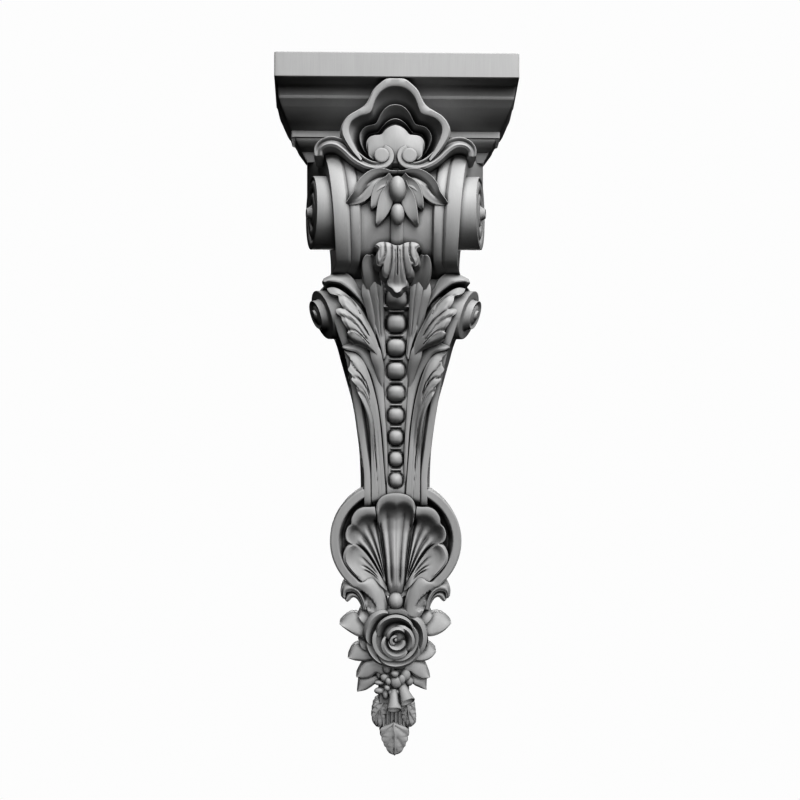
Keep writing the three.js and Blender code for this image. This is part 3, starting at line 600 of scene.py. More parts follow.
# %% Curled leaf
CURL_SIDE = [(2.4, -117.4), (5, -115.8), (8.4, -114.5), (12.4, -114.4), (15.8, -115.4), (18.2, -117.4)]
CURL_MIDDLE = 0.3
CURL_RIM = [(18.2, -117.4), (16, -118.6), (15, -121), (16.4, -124.4), (17, -129), (16.2, -132.6),
            (13.6, -133.6), (11.6, -133.2), (12, -137), (11.4, -141), (9.4, -142.8), (7.2, -142.4),
            (7.6, -146), (7.2, -149), (5, -150.2), (3.4, -151.6), (1.8, -154.2), (0.4, -155.2)]
CURL_LINE = [(-157, 80.4), (-154.6, 80.6), (-152, 77.6), (-149, 76.4), (-146, 77.6), (-140, 80.6),
             (-132, 83.2), (-124, 84.6), (-118, 84.2), (-116, 83), (-114, 81)]
CURL_FLUTES = [
    # line from the upper edge to a notch, depth, width
    ([(10.2, -114.6), (10, -119), (9.9, -123.2), (11.2, -128.4), (12.8, -131.6), (12.4, -134)], 2.0, 0.9),
    ([(4.8, -116), (4.7, -122), (4.9, -128), (5.7, -135), (7, -140.6), (7.6, -143.6)], 1.7, 0.9),
    ([(1.9, -121), (2, -130), (2.6, -140), (3.4, -147)], 0.9, 0.7),
    ([(0, -117), (0, -126), (0, -134), (0, -140)], 1.5, 0.6),
    ([(14, -118), (14.6, -122), (14.8, -127)], 0.9, 1.0),
]


def curled(s, v, x, z):
    """Rolls over below its upper edge, falls to its tips, and is cut by the flutes."""
    across = np.abs(x - CURL_MIDDLE)
    line = graph(CURL_LINE, z) + graph([(0, 0), (6, -0.2), (9, 0.4), (13, 1.2), (15, 1), (18, -1)], across)
    for points, depth, width in CURL_FLUTES:
        line = line - depth * furrow(points, across, z, width, 0.8)
    return line - 1.2 * step(0.94, 1, v) * step(-150, -144, z)


curl_lines = [mirrored(CURL_SIDE, -1), CURL_SIDE, mirrored(CURL_RIM, -1) + CURL_RIM[-2::-1]]
fan(*[moved(line, CURL_MIDDLE) for line in curl_lines], curled, 66, columns=68, rows=32, edge=0.6,
    spread=1.25, flare=2.6, drop=9)
print("curled leaf: 5 lobes,", 2 * len(CURL_FLUTES) - 1, "flutes")

# %% [markdown]
# Beside the curled leaf a shoot rises out of the hollow between the two scrolls. Below it an acanthus
# leaf lies on each side of the leg, and a second one under that. Such a leaf is carved as two forms
# with a deep groove between them: a stem whose upper end rolls over, and a blade with lobes that
# spread from the stem, each a ridge between two valleys.

# %% Shoots and stems of the acanthus
STEM_LOW = [(10.6, -208), (11.6, -202), (13, -196.4), (14.6, -191), (16.2, -186.6), (17.7, -182.6),
            (20.7, -175), (24.5, -167.4), (29.1, -159.7), (33.7, -154.4), (39.8, -149), (45.9, -144.9),
            (50, -143.4), (54, -142.8), (58.1, -142.6), (61.1, -143.6)]
STEM_HIGH = [(9.4, -204), (10, -194), (10.8, -186), (11.6, -178), (12.6, -171), (14.4, -164),
             (17.4, -157.5), (22.5, -153), (28.4, -151.6), (32.6, -148.8), (35.8, -142.7), (39, -138.4),
             (43, -135.8), (48.6, -135.1), (55.2, -137.4), (61.4, -140.4)]
LOW_STEM_LOW = [(7.6, -338), (9.6, -296), (11.2, -272.3), (12.7, -260.1), (14.5, -249.2), (16.4, -239.4),
                (18.8, -229.7), (21.2, -221.8), (24.3, -215.1), (27.9, -209), (31.6, -204.1), (35.2, -201.7),
                (38.9, -200.8), (42.3, -200), (45.6, -198.6)]
LOW_STEM_HIGH = [(7, -338), (7.8, -296), (8.8, -272), (9.8, -258), (10.4, -246), (11, -236),
                 (12, -226), (14, -216), (18.4, -208), (23, -204), (26, -200), (28.6, -194.6),
                 (32.4, -192.5), (38.4, -194.6), (45, -197.2)]


def stem(s, v, z):
    """Rises toward its rolled end; the roll is a round across it that grows along the stem."""
    roll = step(0.45, 0.8, v)
    rise = graph([(0, 40), (0.3, 44), (0.6, 51), (0.8, 56), (1, 56)], v)
    plain = 0.8 * np.sin(np.pi * np.clip(0.1 + 0.9 * s, 0, 1))
    return rise + mix(plain, 2.2 - 8.6 * s**1.2 - 0.9 * bump(s, 0, 0.1), roll)


def low_stem(s, v, z):
    """The same for the lower leaf, which lies on the leg along most of its length."""
    roll = step(0.55, 0.85, v)
    rise = graph([(0, 18), (0.03, 25), (0.06, 29.4), (0.12, 30.4), (0.35, 31.2), (0.6, 37.6), (0.85, 44.5),
                  (1, 45.5)], v)
    plain = 0.4 * np.sin(np.pi * np.clip(0.1 + 0.9 * s, 0, 1))
    return rise + mix(plain, 1.2 - 5 * s**1.3 - 0.7 * bump(s, 0, 0.1), roll)


SHOOTS = [
    # line, half widths, heights, form across it (t is 1 at its outer edge), depth of its back, settings
    # ground behind the shoots
    ([(14, -204), (16.4, -182), (18.4, -162), (18.8, -144), (16.4, -126)],
     [(0, 2), (0.27, 5.6), (0.56, 7.6), (0.8, 7.4), (1, 6)],
     [(0, 34), (0.22, 40), (0.36, 43.4), (0.52, 47.6), (0.66, 51), (0.8, 57), (1, 67)],
     lambda t: -1.4 * t * t, 12, dict(rows=18, flare=1.2, drop=8)),
    # tongue beside the curled leaf
    ([(17, -156), (20.4, -142), (22.4, -132), (22.8, -123.4)],
     [(0, 5), (0.4, 6.4), (0.8, 5.8), (0.95, 4.2), (1, 2.6)],
     [(0, 49), (0.14, 54), (0.5, 63.6), (1, 73)],
     lambda t: 1.4 * step(0.5, 0.95, t) - 1.6 * bump(t, 0.2, 0.5), 14,
     dict(columns=14, rows=20, flare=1.6, drop=8)),
    # outer and inner shoot
    ([(17.4, -190), (20.6, -166), (24, -151), (25, -140)],
     [(0, 1.6), (0.35, 4.4), (0.75, 5.2), (0.93, 3), (1, 0.8)],
     [(0, 40), (0.3, 46.5), (0.55, 51.5), (0.75, 55), (0.88, 55.6), (1, 53)],
     lambda t: 1.4 * (1 - t * t) - 0.8 * bump(t, 0.3, 0.2), 14, dict(rows=22)),
    ([(12.8, -196), (15, -170), (17, -150), (18.6, -132.6)],
     [(0, 1.2), (0.35, 3.2), (0.75, 5), (0.93, 3.4), (1, 1.2)],
     [(0, 40), (0.35, 47.5), (0.6, 54), (0.76, 57.4), (0.88, 58), (1, 55)],
     lambda t: 1 - t * t - 0.9 * bump(t, 0.2, 0.2), 14, dict(rows=24)),
    # shoot under the upper leaf, and the short one between the other two
    ([(11.5, -232), (14, -217), (17.6, -203), (18.6, -193.8)],
     [(0, 1.6), (0.4, 3.6), (0.75, 4.4), (0.93, 2.4), (1, 0.9)],
     [(0, 30.6), (0.3, 35.6), (0.7, 42), (1, 43.6)],
     lambda t: 1.2 * (1 - t * t) - 0.6 * t, 10, dict(rows=22)),
    ([(13.4, -186), (15.2, -169), (17.4, -157), (19, -149.4)],
     [(0, 1.8), (0.4, 2.8), (0.8, 2.4), (1, 0.7)],
     [(0, 41), (0.5, 49), (0.85, 55), (1, 55.6)],
     lambda t: 1.2 * (1 - t * t) - bump(t, 0, 0.2), 12, dict(columns=14, rows=22)),
]
for side in SIDES:
    for line, widths, heights, form, back, settings in SHOOTS:
        grown(mirrored(line, side), widths, heights, lambda t, v: form(side * t), back, **settings)
    band(mirrored(STEM_LOW, side), mirrored(STEM_HIGH, side), stem, 12, columns=14, rows=54, edge=0.8,
         flare=1.8, drop=10)
    band(mirrored(LOW_STEM_LOW, side), mirrored(LOW_STEM_HIGH, side), low_stem, 10, columns=14, rows=60,
         edge=0.7, flare=0.6, drop=8)
print("on each side:", len(SHOOTS), "shoots and 2 stems")

# %% Blades of the acanthus
LEAF_STEM = [(13.2, -208), (15.4, -198), (18.4, -189), (22, -181.4), (25.8, -174), (30.2, -166.4),
             (36, -159.6), (42, -154.2), (48.4, -149.8), (54, -148), (58.6, -148.8)]
LEAF_FOOT = [(13.6, -208), (18.6, -203), (24, -199.4), (30.4, -196.8), (36, -195), (40.6, -191.6)]
LEAF_RIM = [(58.6, -148.8), (57.6, -151), (55.6, -153), (52, -154.2), (49.2, -154.8), (48.6, -156.8),
            (48, -160), (46, -163.4), (44.9, -166), (47.4, -166.6), (50.4, -167.2), (50.8, -169.2),
            (49, -171.4), (46.6, -172.6), (45.6, -176), (43, -180.2), (40.6, -184), (40, -185.6),
            (41.3, -187.2), (41.6, -189.4), (40.6, -191.6)]
LEAF_CREASES = [
    # line from the stem to the rim, depth, width
    ([(31, -170), (34, -164.6), (37, -160.4), (40.4, -157.4), (44.4, -155.6), (49, -155.2)], 1.8, 1.7),
    ([(23.4, -188.4), (27.4, -182), (32, -176), (36.9, -171.8), (41.3, -168.9), (45, -166.6)], 2.0, 1.7),
    ([(25, -192), (30.4, -184.6), (35.4, -179), (39.8, -175.8), (45, -174)], 1.2, 1.3),
    ([(23.4, -195.6), (28.6, -190), (33, -186.4), (36.7, -184.5), (40.6, -184.3)], 1.6, 1.3),
    ([(25, -185), (31.4, -175.6), (36, -168.6), (41, -162.4)], 0.6, 1.8),
    ([(24.4, -190.4), (28.4, -184.4), (34, -177.4), (39.8, -172.7), (46.5, -170.2)], -0.9, 1.4),
    ([(23.4, -197.4), (27.8, -191.8), (32.2, -188), (36.7, -186), (41, -187)], -0.9, 1.1),
]
LOW_LEAF_STEM = [(8.6, -338), (10.4, -310), (12.4, -284), (14, -266), (15.6, -254), (17.4, -244),
                 (19.2, -236.6), (21.4, -228.6), (24, -220.6), (27, -213), (30.6, -207.4), (35, -203.6),
                 (40.6, -202.4), (44.4, -201.4)]
LOW_LEAF_FOOT = [(20.6, -338), (20.8, -312), (21.4, -284), (22.6, -266), (25.4, -253), (28.9, -244.6),
                 (32.2, -238), (33.7, -235)]
LOW_LEAF_RIM = [(44.4, -201.4), (41.7, -204.4), (39.6, -206.4), (39, -209), (39, -212), (39.6, -215),
                (41, -217.2), (40, -219.3), (38.1, -221.4), (37.6, -224), (38, -226.2), (36, -228.7),
                (33.6, -231.6), (33.7, -235)]
LOW_LEAF_CREASES = [
    ([(22.6, -238), (25.4, -229.6), (29.4, -223.3), (33.7, -218.4), (36.8, -214.4), (39, -210.6)], 2.2, 0.95),
    ([(22.6, -243), (25.2, -234.5), (28, -229.4), (30.9, -225.8), (33.9, -224.2), (37, -224.8)], 2.2, 0.95),
    ([(22.4, -248), (25, -240.6), (27.4, -236), (30.2, -233), (33.2, -232.4)], 1.0, 0.8),
    ([(15, -330), (17, -300), (18.8, -277), (20.2, -263), (21.8, -255), (24.2, -247.4), (27, -241.4),
      (30.4, -237.4), (33.2, -236.2)], 1.7, 1.6),
    ([(17.4, -330), (18.6, -300), (20.4, -276), (22.4, -261), (25, -252.6), (28.4, -245), (31.6, -239.4)],
     -0.8, 1.1),
    ([(12.4, -330), (14.4, -300), (15.8, -276), (17.4, -262), (19.4, -250)], 0.6, 1.3),
]


def creased(creases, x, z):
    """The sum of depth times furrow over a list of (line, depth, width); a ridge has a negative depth."""
    return sum(depth * furrow(points, np.abs(x), z, width) for points, depth, width in creases)


def leaf(s, v, x, z):
    """A broad dome from the groove to the rim; past the last ridge it turns under."""
    rise = graph([(0, 41), (0.35, 45.4), (0.7, 50), (0.9, 52.6), (1, 53)], v)
    dome = graph([(0, 0), (0.12, 2), (0.35, 5.6), (0.65, 7.6), (0.9, 6.4), (0.94, 5.6), (1, 0)], s)
    return rise + dome * step(0, 0.6, v) - creased(LEAF_CREASES, x, z) - 1.2 * step(0.9, 1, v)


def low_leaf(s, v, x, z):
    """Flat on the leg at its foot, where it is only flutes, and lobed above."""
    rise = graph([(0, 16), (0.03, 24), (0.06, 28.3), (0.12, 29.2), (0.4, 29.6), (0.6, 33.2), (0.8, 37.4),
                  (1, 42)], v)
    dome = graph([(0, 0), (0.15, 1.4), (0.4, 3.4), (0.7, 4.6), (1, 3.4)], s) * step(0.4, 0.8, v)
    cut = mix(0.4, 1, step(0.1, 0.45, v)) * creased(LOW_LEAF_CREASES, x, z)
    return rise + dome - cut - 0.8 * step(0.93, 1, v)


for side in SIDES:
    upper = [mirrored(line, side) for line in (LEAF_STEM, LEAF_FOOT, LEAF_RIM)]
    lower = [mirrored(line, side) for line in (LOW_LEAF_STEM, LOW_LEAF_FOOT, LOW_LEAF_RIM)]
    fan(*upper, leaf, 12, columns=36, rows=44, edge=0.6, spread=2.4, flare=0.3, drop=9)
    fan(*lower, low_leaf, 10, columns=32, rows=60, edge=0.6, spread=6, flare=0.3, drop=8)
print("acanthus: 2 blades on each side,", len(LEAF_CREASES) + len(LOW_LEAF_CREASES), "creases and ridges")

# %% [markdown]
# A string of nine beads runs down the leg, smaller and closer toward its foot. Each lies in a socket
# and between two of them a short bar is cut. Beads, sockets and bars are one relief over the strip:
# a bead is a dome over a square with rounded corners, whose radius is the sum of two powers, taken to
# the inverse power. A power of 2 would give an ellipse, and a higher one gives squarer corners.

# %% Beading
BEADS = 9
SQUARE = 2.5
STRIP_FACE = [(LEG_FOOT, 18), (-335, 25), (-330, 27.4), (-322, 27.4), (-288, 26.2), (-246, 29.5),
              (-189, 38.5), (-172, 40), (-166, 42), (-164.4, 50), (-149, 51)]


def bead_height(i):
    """Height of bead i: the gaps shrink a little from one to the next."""
    return -156.9 - 20.9 * i + 0.16 * i * i


z = np.linspace(-149, LEG_FOOT, 230)[:, None]
x = graph(STRIP_HALF, z) * np.linspace(-0.93, 0.93, 21)[None, :]
face = graph(STRIP_FACE, z) + 0.5 + 0 * x
for i in range(BEADS):
    half = mix(9.3, 5.8, i / (BEADS - 1))
    tall = mix(7.8, 6.3, i / (BEADS - 1))
    radius = (np.abs(x / half) ** SQUARE + np.abs((z - bead_height(i)) / tall) ** SQUARE) ** (1 / SQUARE)
    face += 6.2 * np.clip(1 - radius**2.1, 0, 1) ** 0.55 - 1.6 * bump(radius, 1.08, 0.09)
    middle = (bead_height(i) + bead_height(i + 1)) / 2
    if i < BEADS - 1:
        bar = 0.9 * bump(z, middle, 0.9) - 1.3 * bump(np.abs(z - middle), 1.9, 0.7)
        face += bar * (1 - step(0.62 * half, 0.74 * half, np.abs(x)))
relief(x, z, face, 10, edge=0.4)
print("beads:", BEADS, "from", bead_height(0), "to", bead_height(BEADS - 1), "mm")

# %% [markdown]
# The leg stands on a medallion: a dished disc in a keyhole-shaped rim, open at the top, whose lower
# ends roll in beside a pearl, with a small wing outside each of them. The rim is a flat face with a
# sloping inner wall, so it is a band between two lines that are ellipses at first and then turn in.

# %% Dish and rim
MEDAL_HEIGHT = -367
MEDAL = (57, 52.4)
INNER = (46, 41.6)


def ellipse(halves, start, stop, count):
    """Points on an ellipse about the middle of the medallion, from one angle to another."""
    a = np.radians(np.linspace(start, stop, count))
    return [(halves[0] * c, MEDAL_HEIGHT + halves[1] * s) for c, s in zip(np.cos(a), np.sin(a))]


a = np.linspace(0, 2 * np.pi, 96, endpoint=False)[None, :]
DISH = [(54, 0), (54, 22), (50, 21), (46, 17), (42, 14), (36, 12), (24, 10.6), (12, 10), (0.2, 10)]
reach, depth = np.array(DISH, float).T[..., None]
turned(np.stack([reach * np.cos(a), depth + 0 * a, MEDAL_HEIGHT + 0.92 * reach * np.sin(a)], -1))

RIM_OUT = ellipse(MEDAL, 60, -46, 14) + [(37.4, -407.2), (34.2, -409.4), (31.2, -412.4), (29.2, -415.8),
                                       (27.6, -419.4), (26, -423.6), (24, -428.4), (20.2, -434.4)]
RIM_IN = ellipse(INNER, 60, -46, 14) + [(28.6, -400.4), (24, -399.4), (19.4, -400.8), (15.4, -404.4),
                                      (12, -409.6), (9.8, -415.6), (8.2, -422.4), (7, -430)]
HOOK = [(21.4, -424.2), (22.4, -421.4), (24.4, -418.4), (27, -415.4), (29.6, -412.4)]
WALL_SLOPE = [(0, 28.6), (0.04, 29.2), (0.6, 29.2), (0.64, 28.2), (1, 15)]
ROLL = [(0, 27.4), (0.2, 29.6), (0.5, 30.4), (0.8, 28.6), (1, 25)]


def rim(side):
    """A flat face and a sloping wall, which pass into a roll round a drop-shaped hollow."""
    def off(s, v, z):
        out, into = flow(mirrored(RIM_OUT, side), v[:, 0]), flow(mirrored(RIM_IN, side), v[:, 0])
        x = mix(out[:, :1], into[:, :1], s)
        hook = 3.4 * step(0.25, 0.6, furrow(HOOK[::-1], np.abs(x), z, 3.8, 0.4))
        return mix(graph(WALL_SLOPE, s), graph(ROLL, s), step(0.62, 0.74, v)) - hook
    return off


for side in SIDES:
    band(mirrored(RIM_OUT, side), mirrored(RIM_IN, side), rim(side), BACK, columns=16, rows=88, edge=0.6,
         flare=1.6, drop=28)
print("medallion:", 2 * MEDAL[0], "by", 2 * MEDAL[1], "mm")

# %% Wings
WING_GROOVE = [(27.6, -427), (28.6, -422), (30.8, -416.6), (33.9, -412.4), (38.4, -410.4), (43, -411.2),
               (45, -413.6), (45.2, -416.6)]
WING_TOP = [(25.6, -425), (26.4, -419), (29.4, -412), (34, -406.4), (40, -403.6), (44.9, -405.6),
            (47.2, -410.8), (46.8, -416.4)]
WING_FOOT = [(29.2, -428), (30, -424.4), (31.6, -421), (34, -417.8), (37, -416.4), (39.4, -417.4),
             (40.8, -419), (42.4, -420.4)]
for side in SIDES:
    band(mirrored(WING_FOOT, side), mirrored(moved(WING_GROOVE, -0.3, -1.3), side),
         lambda s, v, z: 23.6 + 1.6 * np.sin(np.pi * s) - 3 * s * s, BACK, rows=32, edge=0.8)
    band(mirrored(WING_GROOVE, side), mirrored(WING_TOP, side),
         lambda s, v, z: 27.6 + 1.6 * np.sin(np.pi * s) - 4 * s**2.4 - 1.6 * v, BACK, rows=32, edge=1.2)
print("wings: a roll and a band on each side")

# %% [markdown]
# In the dish lies a shell of five lobes that fan out from a pearl. A lobe has a bright turned-over
# collar at its rim, a deep scoop inside it and flutes that run down to the root. Each is one relief
# between two side lines and a rim, and its height is a line along the lobe plus the flutes across it.

# %% Shell and pearl
LOBE_LINE = [(0, 22), (0.12, 25.4), (0.3, 25.6), (0.5, 21.6), (0.65, 17.6), (0.76, 15.6), (0.84, 15.8),
             (0.91, 18), (0.965, 22), (1.0, 27), (1.03, 29.6), (1.1, 30.8), (1.25, 30.2)]
MID_RIGHT = [(7.6, -413), (8.6, -399), (9.8, -384), (12.2, -366), (15, -350), (16.6, -337.5)]
MID_LEFT = mirrored(MID_RIGHT, -1)
MID_RIM = [(-16.6, -337.5), (-14.4, -331.6), (-9.6, -327.6), (0, -325.7), (9.6, -327.6), (14.4, -331.6),
           (16.6, -337.5)]


def collar(start, v):
    """Height along a lobe whose collar begins at start, one value for each line along it."""
    return graph(LOBE_LINE, v / start)


def middle_lobe(s, v, x, z):
    """Two bumps at the top with a notch between them, and four flutes."""
    t = 2 * s - 1
    start = graph([(0, 0.895), (0.15, 0.91), (0.42, 0.925), (0.75, 0.915), (0.92, 0.87), (1, 0.8)], np.abs(t))
    inside = step(0.03, 0.2, v) * (1 - step(0.8, 0.93, v))
    flutes = 1.0 * np.cos(2 * np.pi * t / 0.84) - 1.5 * bump(np.abs(t), 0.42, 0.08) - 0.8 * bump(t, 0, 0.08)
    flank = -4.5 * np.abs(t) ** 8 * (1 - step(0.85, 0.95, v))
    return collar(start, v) + flutes * inside + flank + 1.6 * (1 - t * t)


SIDE_INNER = [(8.2, -408), (10.2, -393), (12.2, -380.5), (15.4, -361.7), (17.4, -350), (18.6, -337.4)]
SIDE_OUTER = [(8.6, -407), (12, -398.8), (16.5, -391.2), (21.2, -384.4), (26.7, -378), (32.2, -373),
              (39.2, -368.6)]
SIDE_RIM = [(18.6, -337.4), (22, -338), (28.3, -338.2), (34, -340.8), (37.8, -346.6), (38.6, -352.6),
            (41.8, -355.8), (43.4, -361.4), (42.4, -366), (39.2, -368.6)]


def side_lobe(s, v, x, z):
    """One broad bump and one narrow one, each with its crease."""
    start = graph([(0, 0.86), (0.12, 0.89), (0.3, 0.9), (0.55, 0.93), (0.62, 0.965), (0.75, 0.955),
                   (1, 0.94)], s)
    inside = step(0.1, 0.3, v) * (1 - step(0.72, 0.88, v))
    creases = -2.2 * (bump(s, 0.3, 0.055) + bump(s, 0.64, 0.055))
    ridges = 1.6 * (bump(s, 0.45, 0.1) + bump(s, 0.8, 0.1))
    inner_edge = -5 * (1 - step(0, 0.1, s)) * (1 - step(0.8, 0.92, v))
    outer_edge = -2.5 * step(0.92, 1, s) * (1 - step(0.85, 0.95, v))
    return collar(start, v) - 0.8 + (creases + ridges) * inside + inner_edge + outer_edge


LOW_INNER = [(8, -408.6), (12.4, -400.4), (17.2, -392.4), (22, -385.4), (27.4, -378.8), (33, -373.6),
             (38.4, -369.4)]
LOW_OUTER = [(8, -411), (13.4, -405.5), (18.1, -401.2), (22.8, -399.6), (29.1, -402)]
LOW_RIM = [(38.4, -369.4), (42.4, -372), (45.2, -377.3), (45.5, -382.4), (43.5, -387.4), (36.6, -395.4),
           (29.1, -402)]


def lower_lobe(s, v, x, z):
    """A thin light rim round a shallow hollow with small ridges."""
    rim_line = 2.6 * bump(v, 0.955, 0.03) * (1 - step(0.75, 0.95, s))
    line = graph([(0, 23), (0.25, 25.6), (0.45, 24.6), (0.65, 23.4), (0.82, 24.4), (0.91, 26.6),
                  (1, 27.6)], v)
    creases = -2.4 * bump(s, 0.22, 0.05) - 1.6 * bump(s, 0.5, 0.04) - 1.4 * bump(s, 0.7, 0.04)
    inside = step(0.3, 0.5, v) * (1 - step(0.62, 0.8, v))
    return line + rim_line + (creases + 1.2 * bump(s, 0.6, 0.05)) * inside + 1.8 * s


fan(MID_LEFT, MID_RIGHT, MID_RIM, middle_lobe, 4, columns=32, rows=54, edge=0.9)
for side in SIDES:
    fan(mirrored(SIDE_INNER, side), mirrored(SIDE_OUTER, side), mirrored(SIDE_RIM, side), side_lobe, 4,
        columns=26, rows=44, edge=0.8)
    fan(mirrored(LOW_INNER, side), mirrored(LOW_OUTER, side), mirrored(LOW_RIM, side), lower_lobe, 4,
        columns=20, rows=32, edge=0.5)
ball(-0.1, -420.6, 22.5, 7, 8.2, 9.2)
print("shell: 5 lobes, middle one", 2 * MID_RIM[-1][0], "mm wide")

# %% [markdown]
# Below the pearl hangs a rose. Its petals wind round a bud, and every one is a thin sheet: it rises
# from its foot, leans outward and rolls over at the lip. So a petal is the line of a side view, carried
# round part of a turn. It is lower and closer to the middle at its two ends, where it slips under its
# neighbours.

# %% Rose
ROSE = (-0.2, -451)
TUCK, DROP = 0.16, 3


def whorl(start, sweep, profile, thick, tall, centre):
    """A petal from one angle round a sweep: the profile lists (radius, off), and both shrink toward
    the ends of the sweep with the fourth power of the distance from its middle."""
    v = np.linspace(0, 1, 23)[:, None]
    line = evenly(profile, np.linspace(0, 1, 13))
    end = np.abs(2 * v - 1) ** 4
    a = np.radians(start + sweep * v)
    radius = line[None, :, 0] * (1 - TUCK * end)
    off = line[None, :, 1] - DROP * end
    petal(np.stack([centre[0] + radius * np.cos(a), off + 0 * a, centre[1] + tall * radius * np.sin(a)], -1),
          thick)


ROSE_PETALS = [
    # start and sweep in degrees, side view, thickness, height to width, centre; from the outside in
    (108, 88, [(12, 14), (18, 23), (22, 29.4), (24.6, 33), (26.6, 33.4), (28, 30), (27.8, 22)], 2.4, 1, ROSE),
    (174, 84, [(12, 18), (18, 23), (22.4, 27.4), (25, 30.4), (26.8, 30), (26.8, 25)], 2.4, 1, ROSE),
    (222, 120, [(12, 18), (17, 23.4), (20.6, 28), (23.4, 31.8), (25.4, 32.2), (26, 27)], 2.4, 1, ROSE),
    (-44, 96, [(12, 14), (17, 20), (21, 25.4), (24, 30), (26.4, 30.4), (27, 24), (26.4, 18)], 2.4, 1, ROSE),
    (40, 82, [(10, 12), (15, 18), (19, 24), (21.8, 28), (24, 27.6), (24.4, 21)], 2.4, 1, ROSE),
    (22, 150, [(8, 18), (12, 25), (15.4, 32), (17.4, 36), (18.8, 36.8), (19.6, 33)], 2.2, 1.04, ROSE),
    (146, 128, [(8, 18), (12.4, 25), (15.6, 31), (18, 35), (19.6, 35.6), (20.2, 31)], 2.2, 1, ROSE),
    (252, 150, [(8, 18), (12, 24.4), (15, 30.6), (17.4, 35), (19.2, 35.8), (19.8, 31.6)], 2.2, 1, ROSE),
    (156, 168, [(5, 24), (8, 31.4), (10.4, 37), (12, 39.2), (13.2, 39), (13.6, 35)], 2, 1, (0.9, -453.4)),
    (-52, 150, [(5, 24), (8.2, 31), (11, 36.6), (12.8, 38.6), (14, 38), (14, 34)], 2, 1, (1.4, -452.6)),
    (40, 150, [(3, 26), (5.4, 33.4), (7.2, 38.4), (8.6, 40.4), (9.6, 39.8), (9.8, 36)], 1.8, 1,
     (1.6, -450.2)),
    (186, 170, [(2.6, 28), (4.8, 34.6), (6.6, 39), (7.8, 40.2), (8.6, 39), (8.6, 36)], 1.6, 1, (0.6, -451.4)),
    (70, 190, [(0.6, 30), (2.2, 37), (3.6, 40.4), (4.6, 40.6), (5.2, 38)], 1.3, 1, (-0.2, -451.6)),
]
ball(ROSE[0], ROSE[1], 6, 24, 22, 21, sides=32)
ball(ROSE[0] + 0.4, ROSE[1] - 0.6, 14, 16, 15.4, 19.6)
for row in ROSE_PETALS:
    whorl(*row)
ball(-0.6, -451.2, 37, 1.8, 2.2, 3.4, sides=16)
rose_reach = max(reach for row in ROSE_PETALS for reach, off in row[2])
print("rose:", len(ROSE_PETALS), "petals round a bud, the widest", rose_reach, "mm from its middle")

# %% [markdown]
# Plain pointed leaves stick out from under the rose and the rim. They are smooth, slightly domed and
# thin at the edge. Each lies between an upper and a lower edge line that meet at its tip.

# %% Leaves round the rose
ROSE_LEAVES = [
    # upper edge, lower edge, height at the root, height at the tip, tilt
    ([(-18, -439), (-27, -434), (-32.3, -433.4), (-37.7, -432.1), (-43.6, -434.8), (-49.1, -440)],
     [(-18, -447), (-26, -450), (-31.9, -451), (-37.3, -448.8), (-43.6, -444.8), (-49.1, -440.6)],
     20, 17, 3.4),
    ([(18, -438), (26, -434.6), (32, -433.4), (37.6, -432.1), (44, -434.8), (48.9, -439.6)],
     [(18, -447), (24, -448.6), (29.5, -450.9), (36.7, -449.7), (43.4, -445.9), (48.9, -440.2)], 20, 17, 3.4),
    ([(-19, -434), (-23, -429), (-26.4, -427), (-29, -427), (-31.4, -429.4), (-32.6, -432.6)],
     [(-19, -441), (-22, -442.4), (-25.5, -441.6), (-28.4, -439.4), (-30.8, -436.4), (-32.6, -433)],
     23, 22, 2.6),
    ([(19, -434), (22, -430.4), (25, -428.4), (28.1, -427.6), (30.6, -429.6), (32.2, -432.6)],
     [(19, -441), (22, -442.4), (25, -441.6), (28, -439.4), (30.4, -436.6), (32.2, -433)], 23, 22, 2.6),
    ([(-20, -458), (-25, -454.6), (-29, -454), (-32.6, -452.8)],
     [(-20, -465), (-25.5, -464), (-30.4, -461), (-32.6, -453.4)], 21, 21, 1.6),
    ([(19, -460), (23, -457), (26, -455.4), (28.2, -453.4)],
     [(19, -465), (23.6, -464), (27.4, -460.6), (28.4, -454)], 21, 21, 3),
    ([(-16, -462), (-24, -461.4), (-29.6, -460.4), (-34, -460), (-38.8, -463.6), (-41.8, -470)],
     [(-14, -470), (-20, -471.4), (-26, -473), (-31, -473), (-36, -472.4), (-41.8, -470.6)], 20, 18, 1.4),
    ([(14, -463), (20, -461.4), (25, -460), (29, -459.6), (32.2, -461.6), (35.4, -464.8)],
     [(14, -471), (19, -472.6), (24, -472.8), (28.4, -471.8), (32.4, -469.2), (35.4, -465.4)], 20, 18, 3),
    ([(-8, -472), (-14, -472.4), (-20.4, -473), (-26.4, -474.6), (-30.4, -479), (-34.4, -486.8)],
     [(-8, -486), (-13, -485.4), (-17.4, -483.6), (-22.4, -487.4), (-28, -489), (-34.4, -487.4)],
     21, 19, 0.2),
    ([(8, -472), (13, -472.4), (18.7, -472.7), (23.2, -474.1), (26.8, -479), (30.1, -487.4)],
     [(8, -486), (10, -483), (13, -482.4), (18.4, -487), (24.1, -489.1), (30.1, -488)], 21, 19, 1.6),
    ([(-8, -486), (-16, -486), (-24, -488), (-31.8, -489.4), (-33, -495), (-33.7, -500.8)],
     [(-8, -494), (-13, -493.4), (-18.3, -494.4), (-22.4, -497.4), (-27, -500), (-33.7, -501.4)],
     17, 15, 0.4),
    ([(8, -484), (14, -486), (21, -488), (27, -488.6), (27.4, -494), (27.2, -499.4)],
     [(8, -490), (12.4, -491), (16.9, -495.3), (20, -497), (23, -498.4), (27.2, -500)], 17, 15, 0.8),
]
LEAVES_DOWN = 1.2


